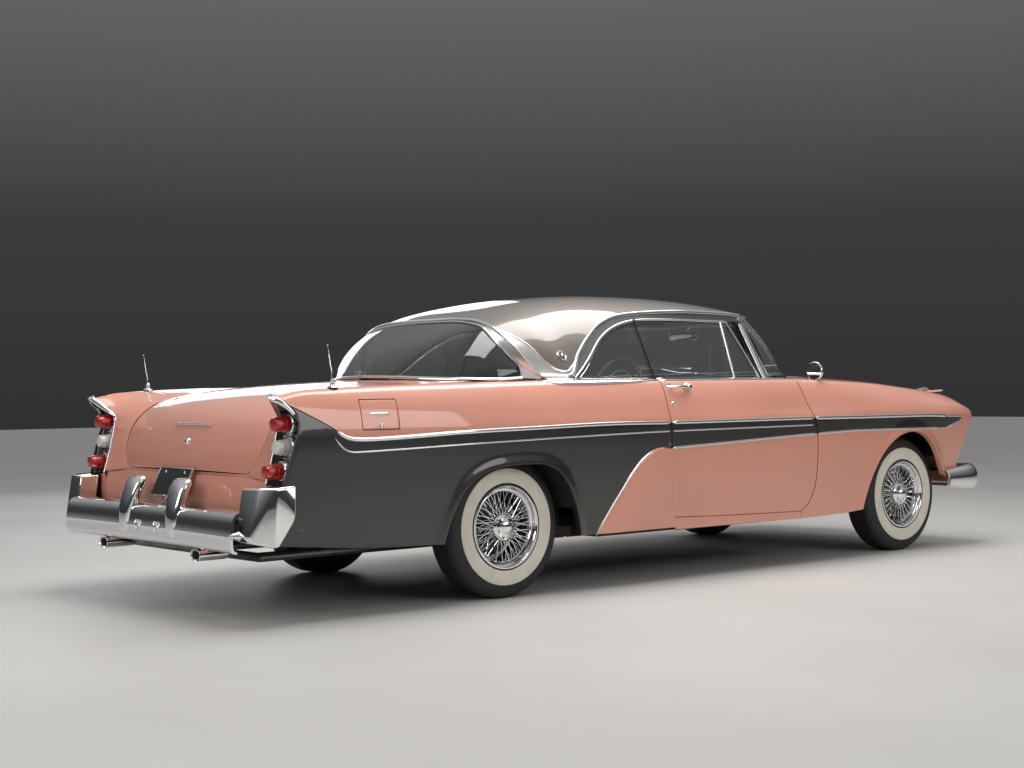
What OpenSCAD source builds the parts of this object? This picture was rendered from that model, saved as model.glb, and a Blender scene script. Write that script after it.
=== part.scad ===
// Two-door hardtop saloon of the middle 1950s, full size, in separate pieces.
// Millimetres. +X forward, +Y left, +Z up. z = 0 is the ground under the tyres.
// Sections are laid out from the rear axle (x = 0) and moved back by axle_x at the end.

/* [Chassis] */
// Distance between the axles
wheelbase = 3200; // [3190:5:3215]
// Distance of the rear axle behind the middle of the car
axle_x = 1325; // [1315:5:1335]
// Distance between the middles of the front tyres
track_front = 1534; // [1520:2:1540]
// Distance between the middles of the rear tyres
track_rear = 1514; // [1500:2:1520]
// Radius of a tyre under load
tyre_r = 348; // [346:1:350]
// Width of a tyre
tyre_w = 195; // [185:1:198]
// Radius of a wheel rim at the bead seat
rim_r = 190; // [188:0.5:190.5]
// Place of the steering pivot, from the middle line
kingpin_y = 650; // [645:1:655]
// Height of the frame rails' underside
rail_z = 228; // [222:1:236]

/* [Body] */
// Thickness of a pressed outer panel with its stiffening
skin_t = 24; // [18:1:28]
// Thickness of a door with its inner trim
door_t = 104; // [90:1:110]
// Thickness of the roof with its headlining
roof_t = 34; // [26:1:40]
// Gap round the doors
door_gap = 8; // [7:0.5:9]
// Gap round the hood and the trunk lid
lid_gap = 8; // [7:0.5:9]
// Height of the belt moulding's top
belt_z = 1062; // [1056:1:1068]
// Thickness of a pane of glass
glass_t = 6; // [5:0.5:8]

/* [Inside] */
// Width of the front bench
bench_w = 1290; // [1200:5:1310]
// Diameter of the steering wheel
wheel_d = 430; // [410:2:440]

/* [Hidden] */
$fn = 48;

salmon = [0.83, 0.56, 0.49];
charcoal = [0.16, 0.14, 0.13];
taupe = [0.42, 0.38, 0.35];
chrome = [0.8, 0.81, 0.83];
glassy = [0.6, 0.7, 0.68, 0.4];
dark = [0.12, 0.12, 0.13];

// Side of the body at each station x: half-width y at the lower lip (yb, at height zb), at z 420 (yl),
// at z 620 (yd), at the widest line (ym, zm), at the shoulder (ys, zs) and at the crown (yt, zt).
//  [    x,  yb,  zb,  yl,  yd,  ym,  zm,  ys,  zs,  yt,   zt]
SIDE = [
    [-1345, 893, 350, 903, 915, 922, 780, 908, 900, 862,  985],
    [-1180, 902, 338, 915, 932, 942, 800, 925, 925, 862, 1018],
    [-1000, 912, 322, 925, 944, 953, 805, 934, 930, 860, 1028],
    [ -700, 922, 306, 934, 953, 962, 805, 942, 930, 857, 1039],
    [ -350, 928, 298, 940, 958, 966, 812, 946, 925, 852, 1046],
    [  100, 930, 290, 942, 960, 968, 820, 948, 912, 848, 1054],
    [  600, 930, 280, 942, 960, 968, 824, 950, 900, 846, 1062],
    [ 1050, 928, 268, 942, 960, 967, 826, 950, 895, 846, 1062],
    [ 1650, 928, 266, 942, 960, 966, 832, 950, 885, 846, 1062],
    [ 2150, 928, 264, 942, 960, 966, 834, 948, 885, 846, 1060],
    [ 2500, 928, 270, 940, 958, 965, 834, 948, 885, 840, 1050],
    [ 2850, 924, 300, 936, 955, 962, 834, 945, 890, 830, 1036],
    [ 3270, 920, 380, 930, 950, 957, 832, 940, 885, 815, 1004],
    [ 3550, 910, 440, 912, 935, 945, 825, 925, 880, 800,  976],
    [ 3780, 890, 480, 888, 905, 918, 815, 900, 870, 785,  946],
    [ 3900, 868, 489, 866, 878, 896, 805, 880, 855, 772,  915],
    [ 3985, 840, 500, 842, 850, 868, 800, 850, 835, 760,  872]];
// Top of the body: inner edge of the quarter or fender (ye, ze) and height on the middle line (zc).
//  [    x,  ye,   ze,   zc]
TOP = [
    [-1345, 700,  640,  560],
    [-1290, 690,  800,  700],
    [-1230, 680,  868,  850],
    [-1180, 668,  905,  917],
    [-1100, 652,  947,  974],
    [ -950, 632,  993, 1024],
    [ -740, 618, 1019, 1048],
    [ -330, 606, 1044, 1070],
    [    0, 640, 1056, 1075],
    [  300, 735, 1060, 1080],
    [ 1050, 800, 1062, 1080],
    [ 2150, 800, 1062, 1090],
    [ 2300, 705, 1058, 1092],
    [ 2640, 696, 1050, 1088],
    [ 3000, 686, 1036, 1080],
    [ 3400, 668, 1010, 1063],
    [ 3700, 650,  980, 1036],
    [ 3850, 640,  952, 1006],
    [ 3930, 634,  930,  968],
    [ 3985, 630,  880,  905]];
// Rear edge of the quarters, front edge of the fenders, and both door edges: x at each height.
REAR_EDGE = [[300, -1326], [420, -1330], [520, -1322], [665, -1292], [780, -1258], [872, -1232], [930, -1262], [990, -1336]];
NOSE_EDGE = [[300, 3690], [489, 3722], [600, 3752], [700, 3800], [755, 3868], [800, 3955], [850, 3972], [905, 3950], [950, 3915]];
DOOR_FRONT = [[300, 2118], [315, 2146], [340, 2182], [400, 2226], [484, 2249], [650, 2252], [780, 2240], [850, 2214], [944, 2182], [1067, 2164]];
DOOR_REAR = [[300, 1106], [330, 1092], [370, 1070], [450, 1056], [600, 1050], [800, 1045], [900, 1042], [1000, 1050], [1067, 1057]];
// Wheel openings: height of the lip at each x.
ARCH_REAR = [[-452, 296], [-436, 360], [-400, 440], [-340, 520], [-260, 586], [-150, 634], [0, 652], [120, 650], [220, 618], [300, 556], [352, 470], [392, 370], [410, 284]];
ARCH_FRONT = [[2700, 284], [2716, 340], [2770, 470], [2850, 590], [2950, 672], [3060, 722], [3160, 736], [3270, 722], [3370, 670], [3450, 590], [3516, 500], [3562, 452]];
// Ribs of the roof, rear to front: middle (xc, zc), lower edge (xe, ye, ze), fullness q, sweep p.
//  [  xc,   zc,   xe,  ye,   ze,   q,   p]
ROOF = [
    [ 168, 1384,  305, 768, 1082, 5.0, 8.0],
    [ 330, 1440,  452, 818, 1078, 4.4, 5.0],
    [ 520, 1482,  584, 744, 1192, 4.0, 4.0],
    [ 700, 1510,  692, 699, 1277, 3.6, 3.0],
    [ 880, 1528,  816, 665, 1356, 3.2, 3.0],
    [1070, 1538,  968, 646, 1403, 3.0, 3.0],
    [1330, 1543, 1240, 640, 1428, 2.8, 3.0],
    [1640, 1536, 1520, 640, 1438, 2.8, 3.0],
    [1950, 1510, 1780, 640, 1436, 2.8, 3.2],
    [2160, 1480, 1890, 640, 1431, 2.8, 3.3],
    [2286, 1456, 1952, 638, 1425, 2.8, 3.3]];
// Edges of the windshield and of the rear window across half the car: upper point, lower point.
//  [  v,   xt,  yt,   zt,   xb,  yb,   zb]
SHIELD = [
    [0.0, 2296,   0, 1432, 2572,   0, 1102],
    [0.3, 2282, 200, 1428, 2552, 240, 1100],
    [0.6, 2222, 395, 1422, 2470, 470, 1096],
    [0.8, 2126, 530, 1420, 2330, 640, 1090],
    [0.9, 2052, 588, 1408, 2195, 730, 1086],
    [1.0, 1962, 628, 1398, 1992, 812, 1080]];
BACKLIGHT = [
    [0.0,  160,   0, 1372, -238,   0, 1086],
    [0.3,  158, 240, 1368, -205, 250, 1080],
    [0.6,  150, 455, 1344, -100, 480, 1070],
    [0.8,  150, 580, 1272,   20, 625, 1065],
    [0.9,  180, 640, 1206,  110, 680, 1064],
    [1.0,  236, 690, 1130,  228, 716, 1072]];
// Middle profile of the trunk lid: share of the length t, place x, height z.
LID = [
    [0.00, -330, 1070],
    [0.20, -560, 1060],
    [0.38, -780, 1044],
    [0.54, -960, 1020],
    [0.66, -1080, 983],
    [0.75, -1160, 932],
    [0.82, -1213, 874],
    [0.89, -1250, 800],
    [0.95, -1276, 725],
    [1.00, -1292, 654]];
// Middle profile of the rear valance below the lid.
VALANCE = [[0.0, -1295, 633], [0.35, -1308, 580], [0.7, -1316, 515], [0.9, -1300, 462], [1.0, -1262, 440]];
// Half-width of the trunk lid along its length.
LID_EDGE = [[0.0, 560], [0.03, 592], [0.1, 598], [0.4, 606], [0.6, 620], [0.75, 640], [0.85, 650], [0.93, 640], [0.97, 612], [1.0, 560]];

// ---- small maths ----
function at(T, x, i = 0) = (i >= len(T) - 2 || x < T[i + 1][0]) ? i : at(T, x, i + 1);
function grad(T, c, i) = (T[i + 1][c] - T[i][c]) / (T[i + 1][0] - T[i][0]);
function tang(T, c, i) = i <= 0 ? grad(T, c, 0) : i >= len(T) - 1 ? grad(T, c, len(T) - 2)
    : let (a = grad(T, c, i - 1), b = grad(T, c, i)) a * b <= 0 ? 0 : 2 * a * b / (a + b);
// Smooth value of column c of table T at x.
function val(T, x, c = 1) = let (i = at(T, x), h = T[i + 1][0] - T[i][0], t = min(max((x - T[i][0]) / h, 0), 1),
    u = 1 - t) T[i][c] * u * u * (1 + 2 * t) + T[i + 1][c] * t * t * (3 - 2 * t)
    + h * tang(T, c, i) * t * u * u - h * tang(T, c, i + 1) * t * t * u;
// Half-width of the side at station x and height z.
function side_y(x, z) = let (r = [for (c = [1:10]) val(SIDE, x, c)],
    S = [[r[1], r[0]], [420 > r[1] + 20 ? 420 : r[1] + 20, r[2]], [620, r[3]], [r[5], r[4]], [r[7], r[6]],
        [r[9] - 16, r[8] + 34], [r[9], r[8]]]) val(S, z, 1);
function crown_z(x) = val(SIDE, x, 10);
function crown_y(x) = val(SIDE, x, 9);
// Height of the top at station x and half-width y.
function top_z(x, y) = let (ye = val(TOP, x, 1), ze = val(TOP, x, 2), zc = val(TOP, x, 3))
    val([[0, zc], [ye * 0.5, zc - (zc - ze) * 0.22], [ye, ze], [(ye + crown_y(x)) / 2, (ze * 0.42 + crown_z(x) * 0.58)],
        [crown_y(x), crown_z(x)]], y, 1);
function low_z(x) = x > ARCH_REAR[0][0] && x < ARCH_REAR[12][0] ? val(ARCH_REAR, x)
    : x > ARCH_FRONT[0][0] && x < ARCH_FRONT[11][0] ? val(ARCH_FRONT, x) : val(SIDE, x, 2);
function unit(v) = v / max(norm(v), 1e-6);
function gn(G, i, j, square) = let (n = len(G) - 1, m = len(G[0]) - 1)
    unit(edge_flat(cross(G[min(i + 1, n)][j] - G[max(i - 1, 0)][j], G[i][min(j + 1, m)] - G[i][max(j - 1, 0)]), square && (i == 0 || i == n)));
// The ends of a side panel are cut square to the car's length.
function edge_flat(v, on) = on ? [0, v[1], v[2]] : v;
// Grid moved by d along its own normals.
function offs(G, d, square = false) = [for (i = [0:len(G) - 1]) [for (j = [0:len(G[0]) - 1]) G[i][j] + d * gn(G, i, j, square)]];
function moved(G, v) = [for (r = G) [for (p = r) p + v]];
function flat(G) = [for (r = G) for (p = r) p];
// Closed slab between two grids of the same size.
module slab(P, Q) {
    n = len(P); m = len(P[0]); o = n * m;
    polyhedron(points = concat(flat(P), flat(Q)), faces = concat(
        [for (i = [0:n - 2]) for (j = [0:m - 2]) each [[i*m+j, i*m+j+1, (i+1)*m+j+1], [i*m+j, (i+1)*m+j+1, (i+1)*m+j]]],
        [for (i = [0:n - 2]) for (j = [0:m - 2]) each [[o+i*m+j, o+(i+1)*m+j+1, o+i*m+j+1], [o+i*m+j, o+(i+1)*m+j, o+(i+1)*m+j+1]]],
        [for (j = [0:m - 2]) each [[j+1, j, o+j], [j+1, o+j, o+j+1]]],
        [for (j = [0:m - 2]) let (a = (n-1)*m+j) each [[a, a+1, o+a+1], [a, o+a+1, o+a]]],
        [for (i = [0:n - 2]) let (a = i*m) each [[a, a+m, o+a+m], [a, o+a+m, o+a]]],
        [for (i = [0:n - 2]) let (a = i*m+m-1) each [[a+m, a, o+a], [a+m, o+a, o+a+m]]]));
}
module both() { children(); mirror([0, 1, 0]) children(); }
module box(a, b) { translate(a) cube(b - a); }
// Plate of the outline P in x and z, from y0 to y1.
module plate_xz(P, y0, y1) { translate([0, y1, 0]) rotate([90, 0, 0]) linear_extrude(y1 - y0) polygon(P); }
module plate_xy(P, z0, z1) { translate([0, 0, z0]) linear_extrude(z1 - z0) polygon(P); }
// Plate of the outline P in y and z, from x0 to x1.
module plate_yz(P, x0, x1) { translate([x0, 0, 0]) rotate([90, 0, 90]) linear_extrude(x1 - x0) polygon(P); }
module cyl_y(r, y0, y1) { translate([0, y0, 0]) rotate([-90, 0, 0]) cylinder(r = r, h = y1 - y0); }

// ---- outer panels, left side; the right side is the mirror image ----
// Levels of a door's rows, shared by the panels that meet it.
door_f = [0, 0.06, 0.14, 0.28, 0.44, 0.58, 0.69, 0.78, 0.87, 0.96, 1];
function door_level(i, bottom) = i == 0 ? bottom : 318 + 742 * door_f[i];
frac = [0, 0.14, 0.3, 0.46, 0.6, 0.7, 0.78, 0.86, 0.93, 0.98, 1];
function side_pt(x, f) = let (z0 = low_z(x), z1 = crown_z(x), z = z0 + (z1 - z0) * f) [x, side_y(x, z), z];
// Point of a panel that runs over the crown: s up to 1 on the side, beyond 1 inward on the top.
function skin_pt(x, s, yi) = s <= 1 ? side_pt(x, s) : let (y = crown_y(x) + (yi - crown_y(x)) * (s - 1)) [x, y, top_z(x, y)];
quarter_x = [-1326, -1240, -1150, -1020, -880, -700, -560, -453, -436, -390, -320, -220, -100, 20, 130, 230, 310, 360, 396, 411, 560, 700, 860, 1000];
function quarter_in(x) = x < -318 ? val(TOP, x, 1) + 8 : x < 300 ? val([[-318, 616], [0, 650], [300, 760]], x) : val([[300, 760], [460, 800], [1100, 800]], x);
function quarter_grid() = let (R = [for (x = quarter_x) [for (s = concat(frac, [1.33, 1.66, 2])) skin_pt(x, s, quarter_in(x))]])
    // the first and last columns follow the rear edge and the door edge
    concat([[for (p = R[0]) let (x = val(REAR_EDGE, min(p[2], 985))) [x, p[1], p[2]]]],
        [for (k = [1:len(R) - 2]) [for (p = R[k]) let (x = val(REAR_EDGE, min(p[2], 985)), w = max(0, (p[0] + 700) / -626)) [max(p[0] + w * 0, x + 30 * k), p[1], p[2]]]],
        [[for (i = [0:13]) let (z = door_level(min(i, 10), 268), x = val(DOOR_REAR, z) - door_gap) i < 11 ? [x, side_y(x, z), z] : skin_pt(x, 1 + (i - 10) / 3, 800)]]);
module quarter() { G = quarter_grid(); slab(offs(G, skin_t, true), G); }
fender_x = [2330, 2440, 2570, 2699, 2716, 2770, 2850, 2950, 3060, 3160, 3270, 3370, 3450, 3516, 3562, 3640, 3720];
function fender_in(x) = x < 2640 ? val([[2160, 800], [2240, 760], [2330, 716], [2440, 704], [2640, 704]], x) : val(TOP, x, 1) + 7;
function fender_grid() = let (S = concat(frac, [1.3, 1.65, 2]))
    concat([[for (i = [0:len(S) - 1]) let (z = door_level(min(i, 10), 266), x = val(DOOR_FRONT, z) + door_gap + max(0, 420 - z) * 0.03) i < 11 ? [x, side_y(x, z), z] : skin_pt(x, S[i], 780)]],
        [for (x = fender_x) [for (s = S) skin_pt(x, s, fender_in(x))]],
        [[for (s = S) let (q = skin_pt(3850, s, 650), x = val(NOSE_EDGE, q[2])) [min(x, 3850) , q[1], q[2]]]],
        [[for (s = S) let (q = skin_pt(3960, s, 646), x = val(NOSE_EDGE, q[2])) [max(min(x, 3960), min(x, 3850) + 6), q[1], q[2]]]]);
module fender() { G = fender_grid(); slab(offs(G, skin_t, true), G); }
function door_bot(x) = val([[1050, 336], [1600, 318], [2200, 306]], x);
function door_grid(d0, d1) = [for (u = [0:1/8:1]) [for (f = door_f)
    let (z = 318 + (1060 - 318) * f + (f < 0.01 ? door_bot(1070 + 1130 * u) - 318 : 0),
        x0 = val(DOOR_REAR, z) + d0, x1 = val(DOOR_FRONT, z) - d1, x = x0 + (x1 - x0) * u) [x, side_y(x, z), z]]];
module door() { slab(moved(door_grid(12, 0), [0, -door_t, 0]), door_grid(0, 0)); }

// Roof, hood, lid and valance run across the whole car.
function rib_pt(r, w) = let (a = abs(w)) [r[0] + (r[2] - r[0]) * pow(a, r[6]), r[3] * w, r[4] + (r[1] - r[4]) * (1 - pow(a, r[5]))];
roof_w = [-1, -0.96, -0.9, -0.82, -0.7, -0.5, -0.25, 0, 0.25, 0.5, 0.7, 0.82, 0.9, 0.96, 1];
function roof_grid() = [for (r = ROOF) [for (w = roof_w) rib_pt(r, w)]];
module roof() { color(taupe) { G = roof_grid(); slab(G, offs(G, -roof_t)); } }
hood_x = [2648, 2760, 2900, 3050, 3200, 3350, 3500, 3640, 3750, 3840, 3900, 3940];
function hood_grid() = [for (x = hood_x) [for (w = [-1, -0.86, -0.68, -0.45, -0.2, 0, 0.2, 0.45, 0.68, 0.86, 1])
    let (y = w * (val(TOP, x, 1) - 0)) [x - (x > 3700 ? 46 * w * w * (x - 3700) / 240 : 0), y, top_z(x, abs(y))]]];
module hood() { color(salmon) { G = hood_grid(); slab(G, offs(G, -skin_t)); } }
function lid_pt(t, w) = let (y = w * val(LID_EDGE, t), x = val(LID, t, 1), z = val(LID, t, 2), a = w * w)
    [x + 22 * a * t * t, y, z - 26 * a * (1 - 0.75 * t * t)];
function lid_grid() = [for (t = [0, 0.1, 0.22, 0.36, 0.5, 0.6, 0.68, 0.75, 0.82, 0.89, 0.95, 1]) [for (w = [-1, -0.85, -0.65, -0.4, 0, 0.4, 0.65, 0.85, 1]) lid_pt(t, w)]];
module trunk_lid() { color(salmon) { G = lid_grid(); slab(offs(G, skin_t), G); } }

module front_fender_left() { color(salmon) fender(); }
module front_fender_right() { color(salmon) mirror([0, 1, 0]) fender(); }
module quarter_panel_left() { color(charcoal) quarter(); }
module quarter_panel_right() { color(charcoal) mirror([0, 1, 0]) resize([0, 0, 0]) {
    // the recess behind the fuel flap, with its filler neck
    difference() { quarter(); box([-920, 880, 836], [-712, 990, 980]); }
    difference() { box([-924, 862, 832], [-708, 912, 984]); box([-920, 868, 836], [-712, 990, 980]); }
    translate([-816, 872, 906]) rotate([-90, 0, 0]) cylinder(r = 36, h = 24, $fn = 32);
} }
module door_left() { color(salmon) door(); }
module door_right() { color(salmon) mirror([0, 1, 0]) door(); }
module wheel(s) { r = rim_r; color(chrome) scale1(s) rotate([90, 0, 0]) rotate_extrude($fn = 72) polygon([[21, -40], [48, -40], [48, 0], [150, 6], [172, 40], [172, -72], [184, -84], [201, -86], [201, -80], [r, -76], [r, 76], [201, 80], [201, 86], [184, 84], [178, 66], [150, 22], [60, 40], [48, 58], [21, 58]]); }
module scale1(s) { mirror([0, s > 0 ? 1 : 0, 0]) children(); }
module tyre() { color(dark) rotate([90, 0, 0]) rotate_extrude($fn = 72) polygon([[rim_r + 0.4, -72], [rim_r + 18, -84], [235, -95], [280, -tyre_w / 2], [318, -90], [338, -78], [tyre_r, -56], [tyre_r, 56], [338, 78], [318, 90], [280, tyre_w / 2], [235, 95], [rim_r + 18, 84], [rim_r + 0.4, 72]]); }
module at_wheel(front, s) { translate([front ? wheelbase : 0, s * (front ? track_front : track_rear) / 2, tyre_r]) children(); }
module wheel_front_left() { at_wheel(true, 1) wheel(1); }
module wheel_front_right() { at_wheel(true, -1) wheel(-1); }
module wheel_rear_left() { at_wheel(false, 1) wheel(1); }
module wheel_rear_right() { at_wheel(false, -1) wheel(-1); }
module tyre_front_left() { at_wheel(true, 1) tyre(); }
module tyre_front_right() { at_wheel(true, -1) tyre(); }
module tyre_rear_left() { at_wheel(false, 1) tyre(); }
module tyre_rear_right() { at_wheel(false, -1) tyre(); }

// ---- glass ----
function edge_pt(T, v, top) = let (a = abs(v), k = top ? 1 : 4, s = v < 0 ? -1 : 1) [val(T, a, k), s * val(T, a, k + 1), val(T, a, k + 2)];
// Pane between the two edges of table T, bulged by b in the middle along x.
function pane_grid(T, b) = [for (u = [0:0.25:1]) [for (v = [-1, -0.95, -0.88, -0.78, -0.6, -0.4, 0, 0.4, 0.6, 0.78, 0.88, 0.95, 1])
    let (P = edge_pt(T, v, false), Q = edge_pt(T, v, true), R = P + (Q - P) * u, k = 4 * u * (1 - u)) [R[0] + b * k, R[1], R[2] + abs(b) * 0.5 * k]]];
module windshield() { color(glassy) { G = pane_grid(SHIELD, 26); slab(offs(G, glass_t), G); } }
module rear_window() { color(glassy) { G = pane_grid(BACKLIGHT, -34); slab(G, offs(G, -glass_t)); } }
// Side glass stands in one leaning plane: outline in x and height, from the belt up.
glass_y0 = 826; glass_y1 = 668; glass_z0 = 1066; glass_z1 = 1386;
module side_pane(P) {
    lean = atan2(glass_y0 - glass_y1, glass_z1 - glass_z0); k = 1 / cos(lean);
    translate([0, glass_y0, glass_z0]) rotate([lean, 0, 0]) translate([0, glass_t / 2, 0]) rotate([90, 0, 0])
        linear_extrude(glass_t) polygon([for (p = P) [p[0], (p[1] - glass_z0) * k]]);
}
module door_glass() { color(glassy) side_pane([[1062, 1066], [1900, 1066], [1782, 1384], [1062, 1388]]); }
module door_glass_left() { door_glass(); }
module door_glass_right() { mirror([0, 1, 0]) door_glass(); }
module quarter_glass() { color(glassy) both() side_pane([[508, 1066], [1052, 1066], [1052, 1386], [980, 1366], [880, 1330], [780, 1276], [690, 1206], [610, 1134], [550, 1082]]); }
module windshield_frame() { color(chrome) {
    both() hull() { translate([1958, 806, 1070]) cube([58, 22, 10], center = true); translate([1935, 630, 1386]) cube([46, 26, 10], center = true); }
    hull_run([for (v = [-0.93, -0.87, -0.8, -0.6, -0.3, 0, 0.3, 0.6, 0.8, 0.87, 0.93]) edge_pt(SHIELD, v, true) + [-10, 0, -24]], 18, 12);
    both() plate_xy([[1992, 804], [1992, 826], [2150, 782], [2290, 706], [2280, 692], [2140, 758]], 1067, 1078);
} }
// Ribbon along the points L, a mm wide along x and h high, as one closed slab.
module hull_run(L, a, h) {
    n = len(L) - 1;
    N = [for (i = [0:n]) let (t = L[min(i + 1, n)] - L[max(i - 1, 0)]) a / 2 * unit([-t[1], t[0], 0])];
    slab([for (i = [0:n]) [L[i] + N[i] - [0, 0, h/2], L[i] - N[i] - [0, 0, h/2]]], [for (i = [0:n]) [L[i] + N[i] + [0, 0, h/2], L[i] - N[i] + [0, 0, h/2]]]);
}

// ---- middle of the body ----
module rear_deck() { color(salmon) {
    // panel between the trunk lid and the rear window, then the shelf inside
    G = [for (w = [-1, -0.8, -0.55, -0.28, 0, 0.28, 0.55, 0.8, 1]) let (y = 604 * w, f = val([[0, -232], [250, -200], [480, -94], [604, 6]], abs(y)))
        [for (u = [0, 0.5, 1]) let (x = -322 + (f + 322) * u) [x, y, top_z(x, abs(y))]]];
    slab(offs(G, 20), G);
    plate_xy([[-200, -600], [20, -640], [330, -700], [330, 700], [20, 640], [-200, 600], [-300, 560], [-300, -560]], 990, 1006);
} }
module rear_valance() { color(salmon) {
    G = [for (r = VALANCE) [for (w = [-1, -0.9, -0.75, -0.4, 0, 0.4, 0.75, 0.9, 1]) [r[1] + 30 * w * w + (abs(w) > 0.95 ? 14 : 0), 684 * w, r[2]]]];
    slab(offs(G, 18), G);
    // walls beside the lid opening and the sill of the opening
    both() plate_xz([[-1236, 640], [-1180, 800], [-1100, 880], [-1100, 500], [-1236, 500]], 668, 682);
    box([-1266, -640, 590], [-1240, 640, 610]);
} }
module quarter_trims() { color(taupe) both() difference() {
    plate_xz([[430, 420], [1036, 420], [1036, 1034], [330, 1034], [330, 720], [430, 600]], 800, 832);
    translate([500, 790, 560]) cube([440, 14, 120]);
} }
module firewall() { color(dark) {
    plate_xz([[2240, 318], [2256, 318], [2556, 600], [2556, 1044], [2540, 1044], [2540, 606]], -686, 686);
    // cowl top between the hood and the windshield
    color(salmon) slabcowl();
    both() plate_xz([[2190, 318], [2260, 318], [2556, 600], [2556, 1030], [2262, 1030], [2190, 1020]], 686, 700);
} }
module slabcowl() { G = [for (w = [-1, -0.75, -0.5, -0.25, 0, 0.25, 0.5, 0.75, 1]) let (y = 688 * w, b = val([[0, 2584], [240, 2564], [470, 2484], [640, 2346], [688, 2262]], abs(y)))
    [for (u = [0, 0.5, 1]) let (x = b + (2640 - b) * u) [x, y, top_z(x, abs(y))]]]; slab(offs(G, 16), G); }
module floor_pan() { color(dark) {
    // cabin floor with its tunnel, trunk floor, the step between, and both rocker sills
    plate_yz([[-710, 301], [-180, 301], [-150, 400], [150, 400], [180, 301], [710, 301], [710, 314], [190, 314], [160, 414], [-160, 414], [-190, 314], [-710, 314]], 560, 2238);
    plate_yz([[-610, 301], [-190, 301], [-160, 414], [160, 414], [190, 301], [610, 301], [610, 519], [-610, 519]], 546, 561);
    box([-1250, -610, 505], [550, 610, 519]);
    both() { box([560, 700, 264], [2236, 716, 314]); box([560, 700, 264], [2236, 896, 296]); box([1116, 890, 264], [2108, 926, 296]); }
} }
module rear_wheel_housings() { color(dark) {
    // half-round boxes over the rear tyres
    both() difference() {
        translate([0, 622, 348]) rotate([-90, 0, 0]) cylinder(r = 420, h = 290);
        translate([0, 636, 348]) rotate([-90, 0, 0]) cylinder(r = 408, h = 290);
        translate([-500, 600, -100]) cube([1000, 400, 520]);
        translate([-500, 890, 0]) cube([1000, 100, 1000]);
    }
} }
module front_wheel_aprons() { color(dark) {
    // pressed sections that arch over the front tyres: outer line, inner line, each section short of the next
    O = [[2600, 560], [2700, 760], [2900, 850], [3500, 850], [3700, 740], [3700, 560]];
    I = [[2612, 560], [2708, 750], [2905, 838], [3495, 838], [3690, 733], [3690, 560]];
    for (k = [0:4]) let (e = 0.6 * unit(O[k + 1] - O[k])) both() plate_xz([O[k] + e, O[k + 1] - e, I[k + 1] - e, I[k] + e], 470, 780);
    // side sheets beside the engine
    S = [[[2604, 566], [2698, 754], [2750, 645]], [[2701, 758], [2899, 849], [2919, 761], [2757, 640]], [[2901, 849], [3499, 849], [3479, 761], [2921, 761]],
        [[3501, 848], [3698, 740], [3641, 622], [3481, 759]]];
    for (P = S) both() plate_xz(P, 457, 469);
} }
module grille() { color(chrome) {
    // mesh panel in a frame, and the pan under it
    difference() {
        plate_yz([[-610, 560], [610, 560], [640, 700], [600, 850], [-600, 850], [-640, 700]], 3800, 3850);
        plate_yz([[-585, 585], [585, 585], [612, 700], [578, 828], [-578, 828], [-612, 700]], 3812, 3900);
    }
    plate_yz([[-580, 590], [580, 590], [600, 700], [574, 822], [-574, 822], [-600, 700]], 3816, 3824);
    plate_yz([[-650, 470], [650, 470], [650, 552], [-650, 552]], 3800, 3816);
} }
module headlights() { color(chrome) both() translate([0, 738, 782]) rotate([0, 90, 0]) {
    translate([0, 0, 3880]) cylinder(r = 80, h = 34, $fn = 64);
    translate([0, 0, 3820]) cylinder(r = 86, h = 62, $fn = 64);
} }
module tail_lights() { color("firebrick") both() for (r = [[-1282, 872, 42], [-1246, 771, 42], [-1276, 668, 42]])
    translate([r[0], 842, r[1]]) rotate([0, -90, 0]) { cylinder(r = r[2], h = 60); translate([0, 0, -16]) cylinder(r = r[2] + 4, h = 15); }
}
// Bumper blade: section in x and z, straight across, with ends that wrap round the corners.
module front_bumper() { color(chrome) {
    plate_bar([[0, 0], [46, 20], [66, 70], [60, 120], [30, 150], [0, 158], [14, 80]], 4022, 352, 760, 1);
    both() hull() { translate([4000, 750, 352]) cube([70, 20, 158]); translate([3900, 880, 356]) cube([100, 30, 150]); }
    both() hull() { translate([3900, 880, 356]) cube([90, 30, 150]); translate([3580, 934, 366]) cube([30, 14, 120]); }
    both() hull() { translate([4080, 330, 340]) cube([50, 60, 60]); translate([4068, 340, 560]) cube([44, 40, 40]); }
    both() box([3704, 400, 352], [4030, 440, 402]);
} }
module plate_bar(P, x, z, y, s) { plate_xz([for (p = P) [x + s * p[0], z + p[1]]], -y, y); }
module rear_bumper() { color(chrome) {
    plate_bar([[0, 0], [40, 8], [52, 60], [56, 76], [48, 100], [20, 150], [-20, 172], [-60, 176], [-60, 164], [-24, 158], [8, 140], [34, 96], [34, 60], [20, 20]], -1424, 320, 790, -1);
    // tall corner pods, their side wraps, the two guards and the brackets
    both() hull() { translate([-1452, 792, 372]) cube([60, 108, 30]); translate([-1424, 800, 580]) cube([60, 110, 26]); translate([-1380, 800, 380]) cube([20, 118, 200]); }
    both() hull() { translate([-1378, 912, 356]) cube([20, 24, 240]); translate([-1282, 926, 470]) cube([20, 18, 138]); }
    both() hull() { translate([-1470, 240, 360]) cube([60, 74, 60]); translate([-1398, 252, 590]) cube([44, 50, 28]); }
    both() box([-1380, 470, 386], [-1150, 500, 430]);
} }
module plate_holder() { color(dark) difference() {
    translate([-1352, 0, 590]) rotate([0, -20, 0]) translate([-3, -155, -70]) cube([6, 310, 140]);
    both() translate([-1352, 89, 590]) rotate([0, -20, 0]) translate([-20, 0, 52]) rotate([0, 90, 0]) cylinder(r = 3.5, h = 40);
} }
module antennas() { color(chrome) both() { translate([-1012, 861, 1030]) cylinder(r1 = 20, r2 = 12, h = 18); translate([-1012, 861, 1046]) rotate([0, -9, 0]) cylinder(r = 4, h = 190); } }
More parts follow.
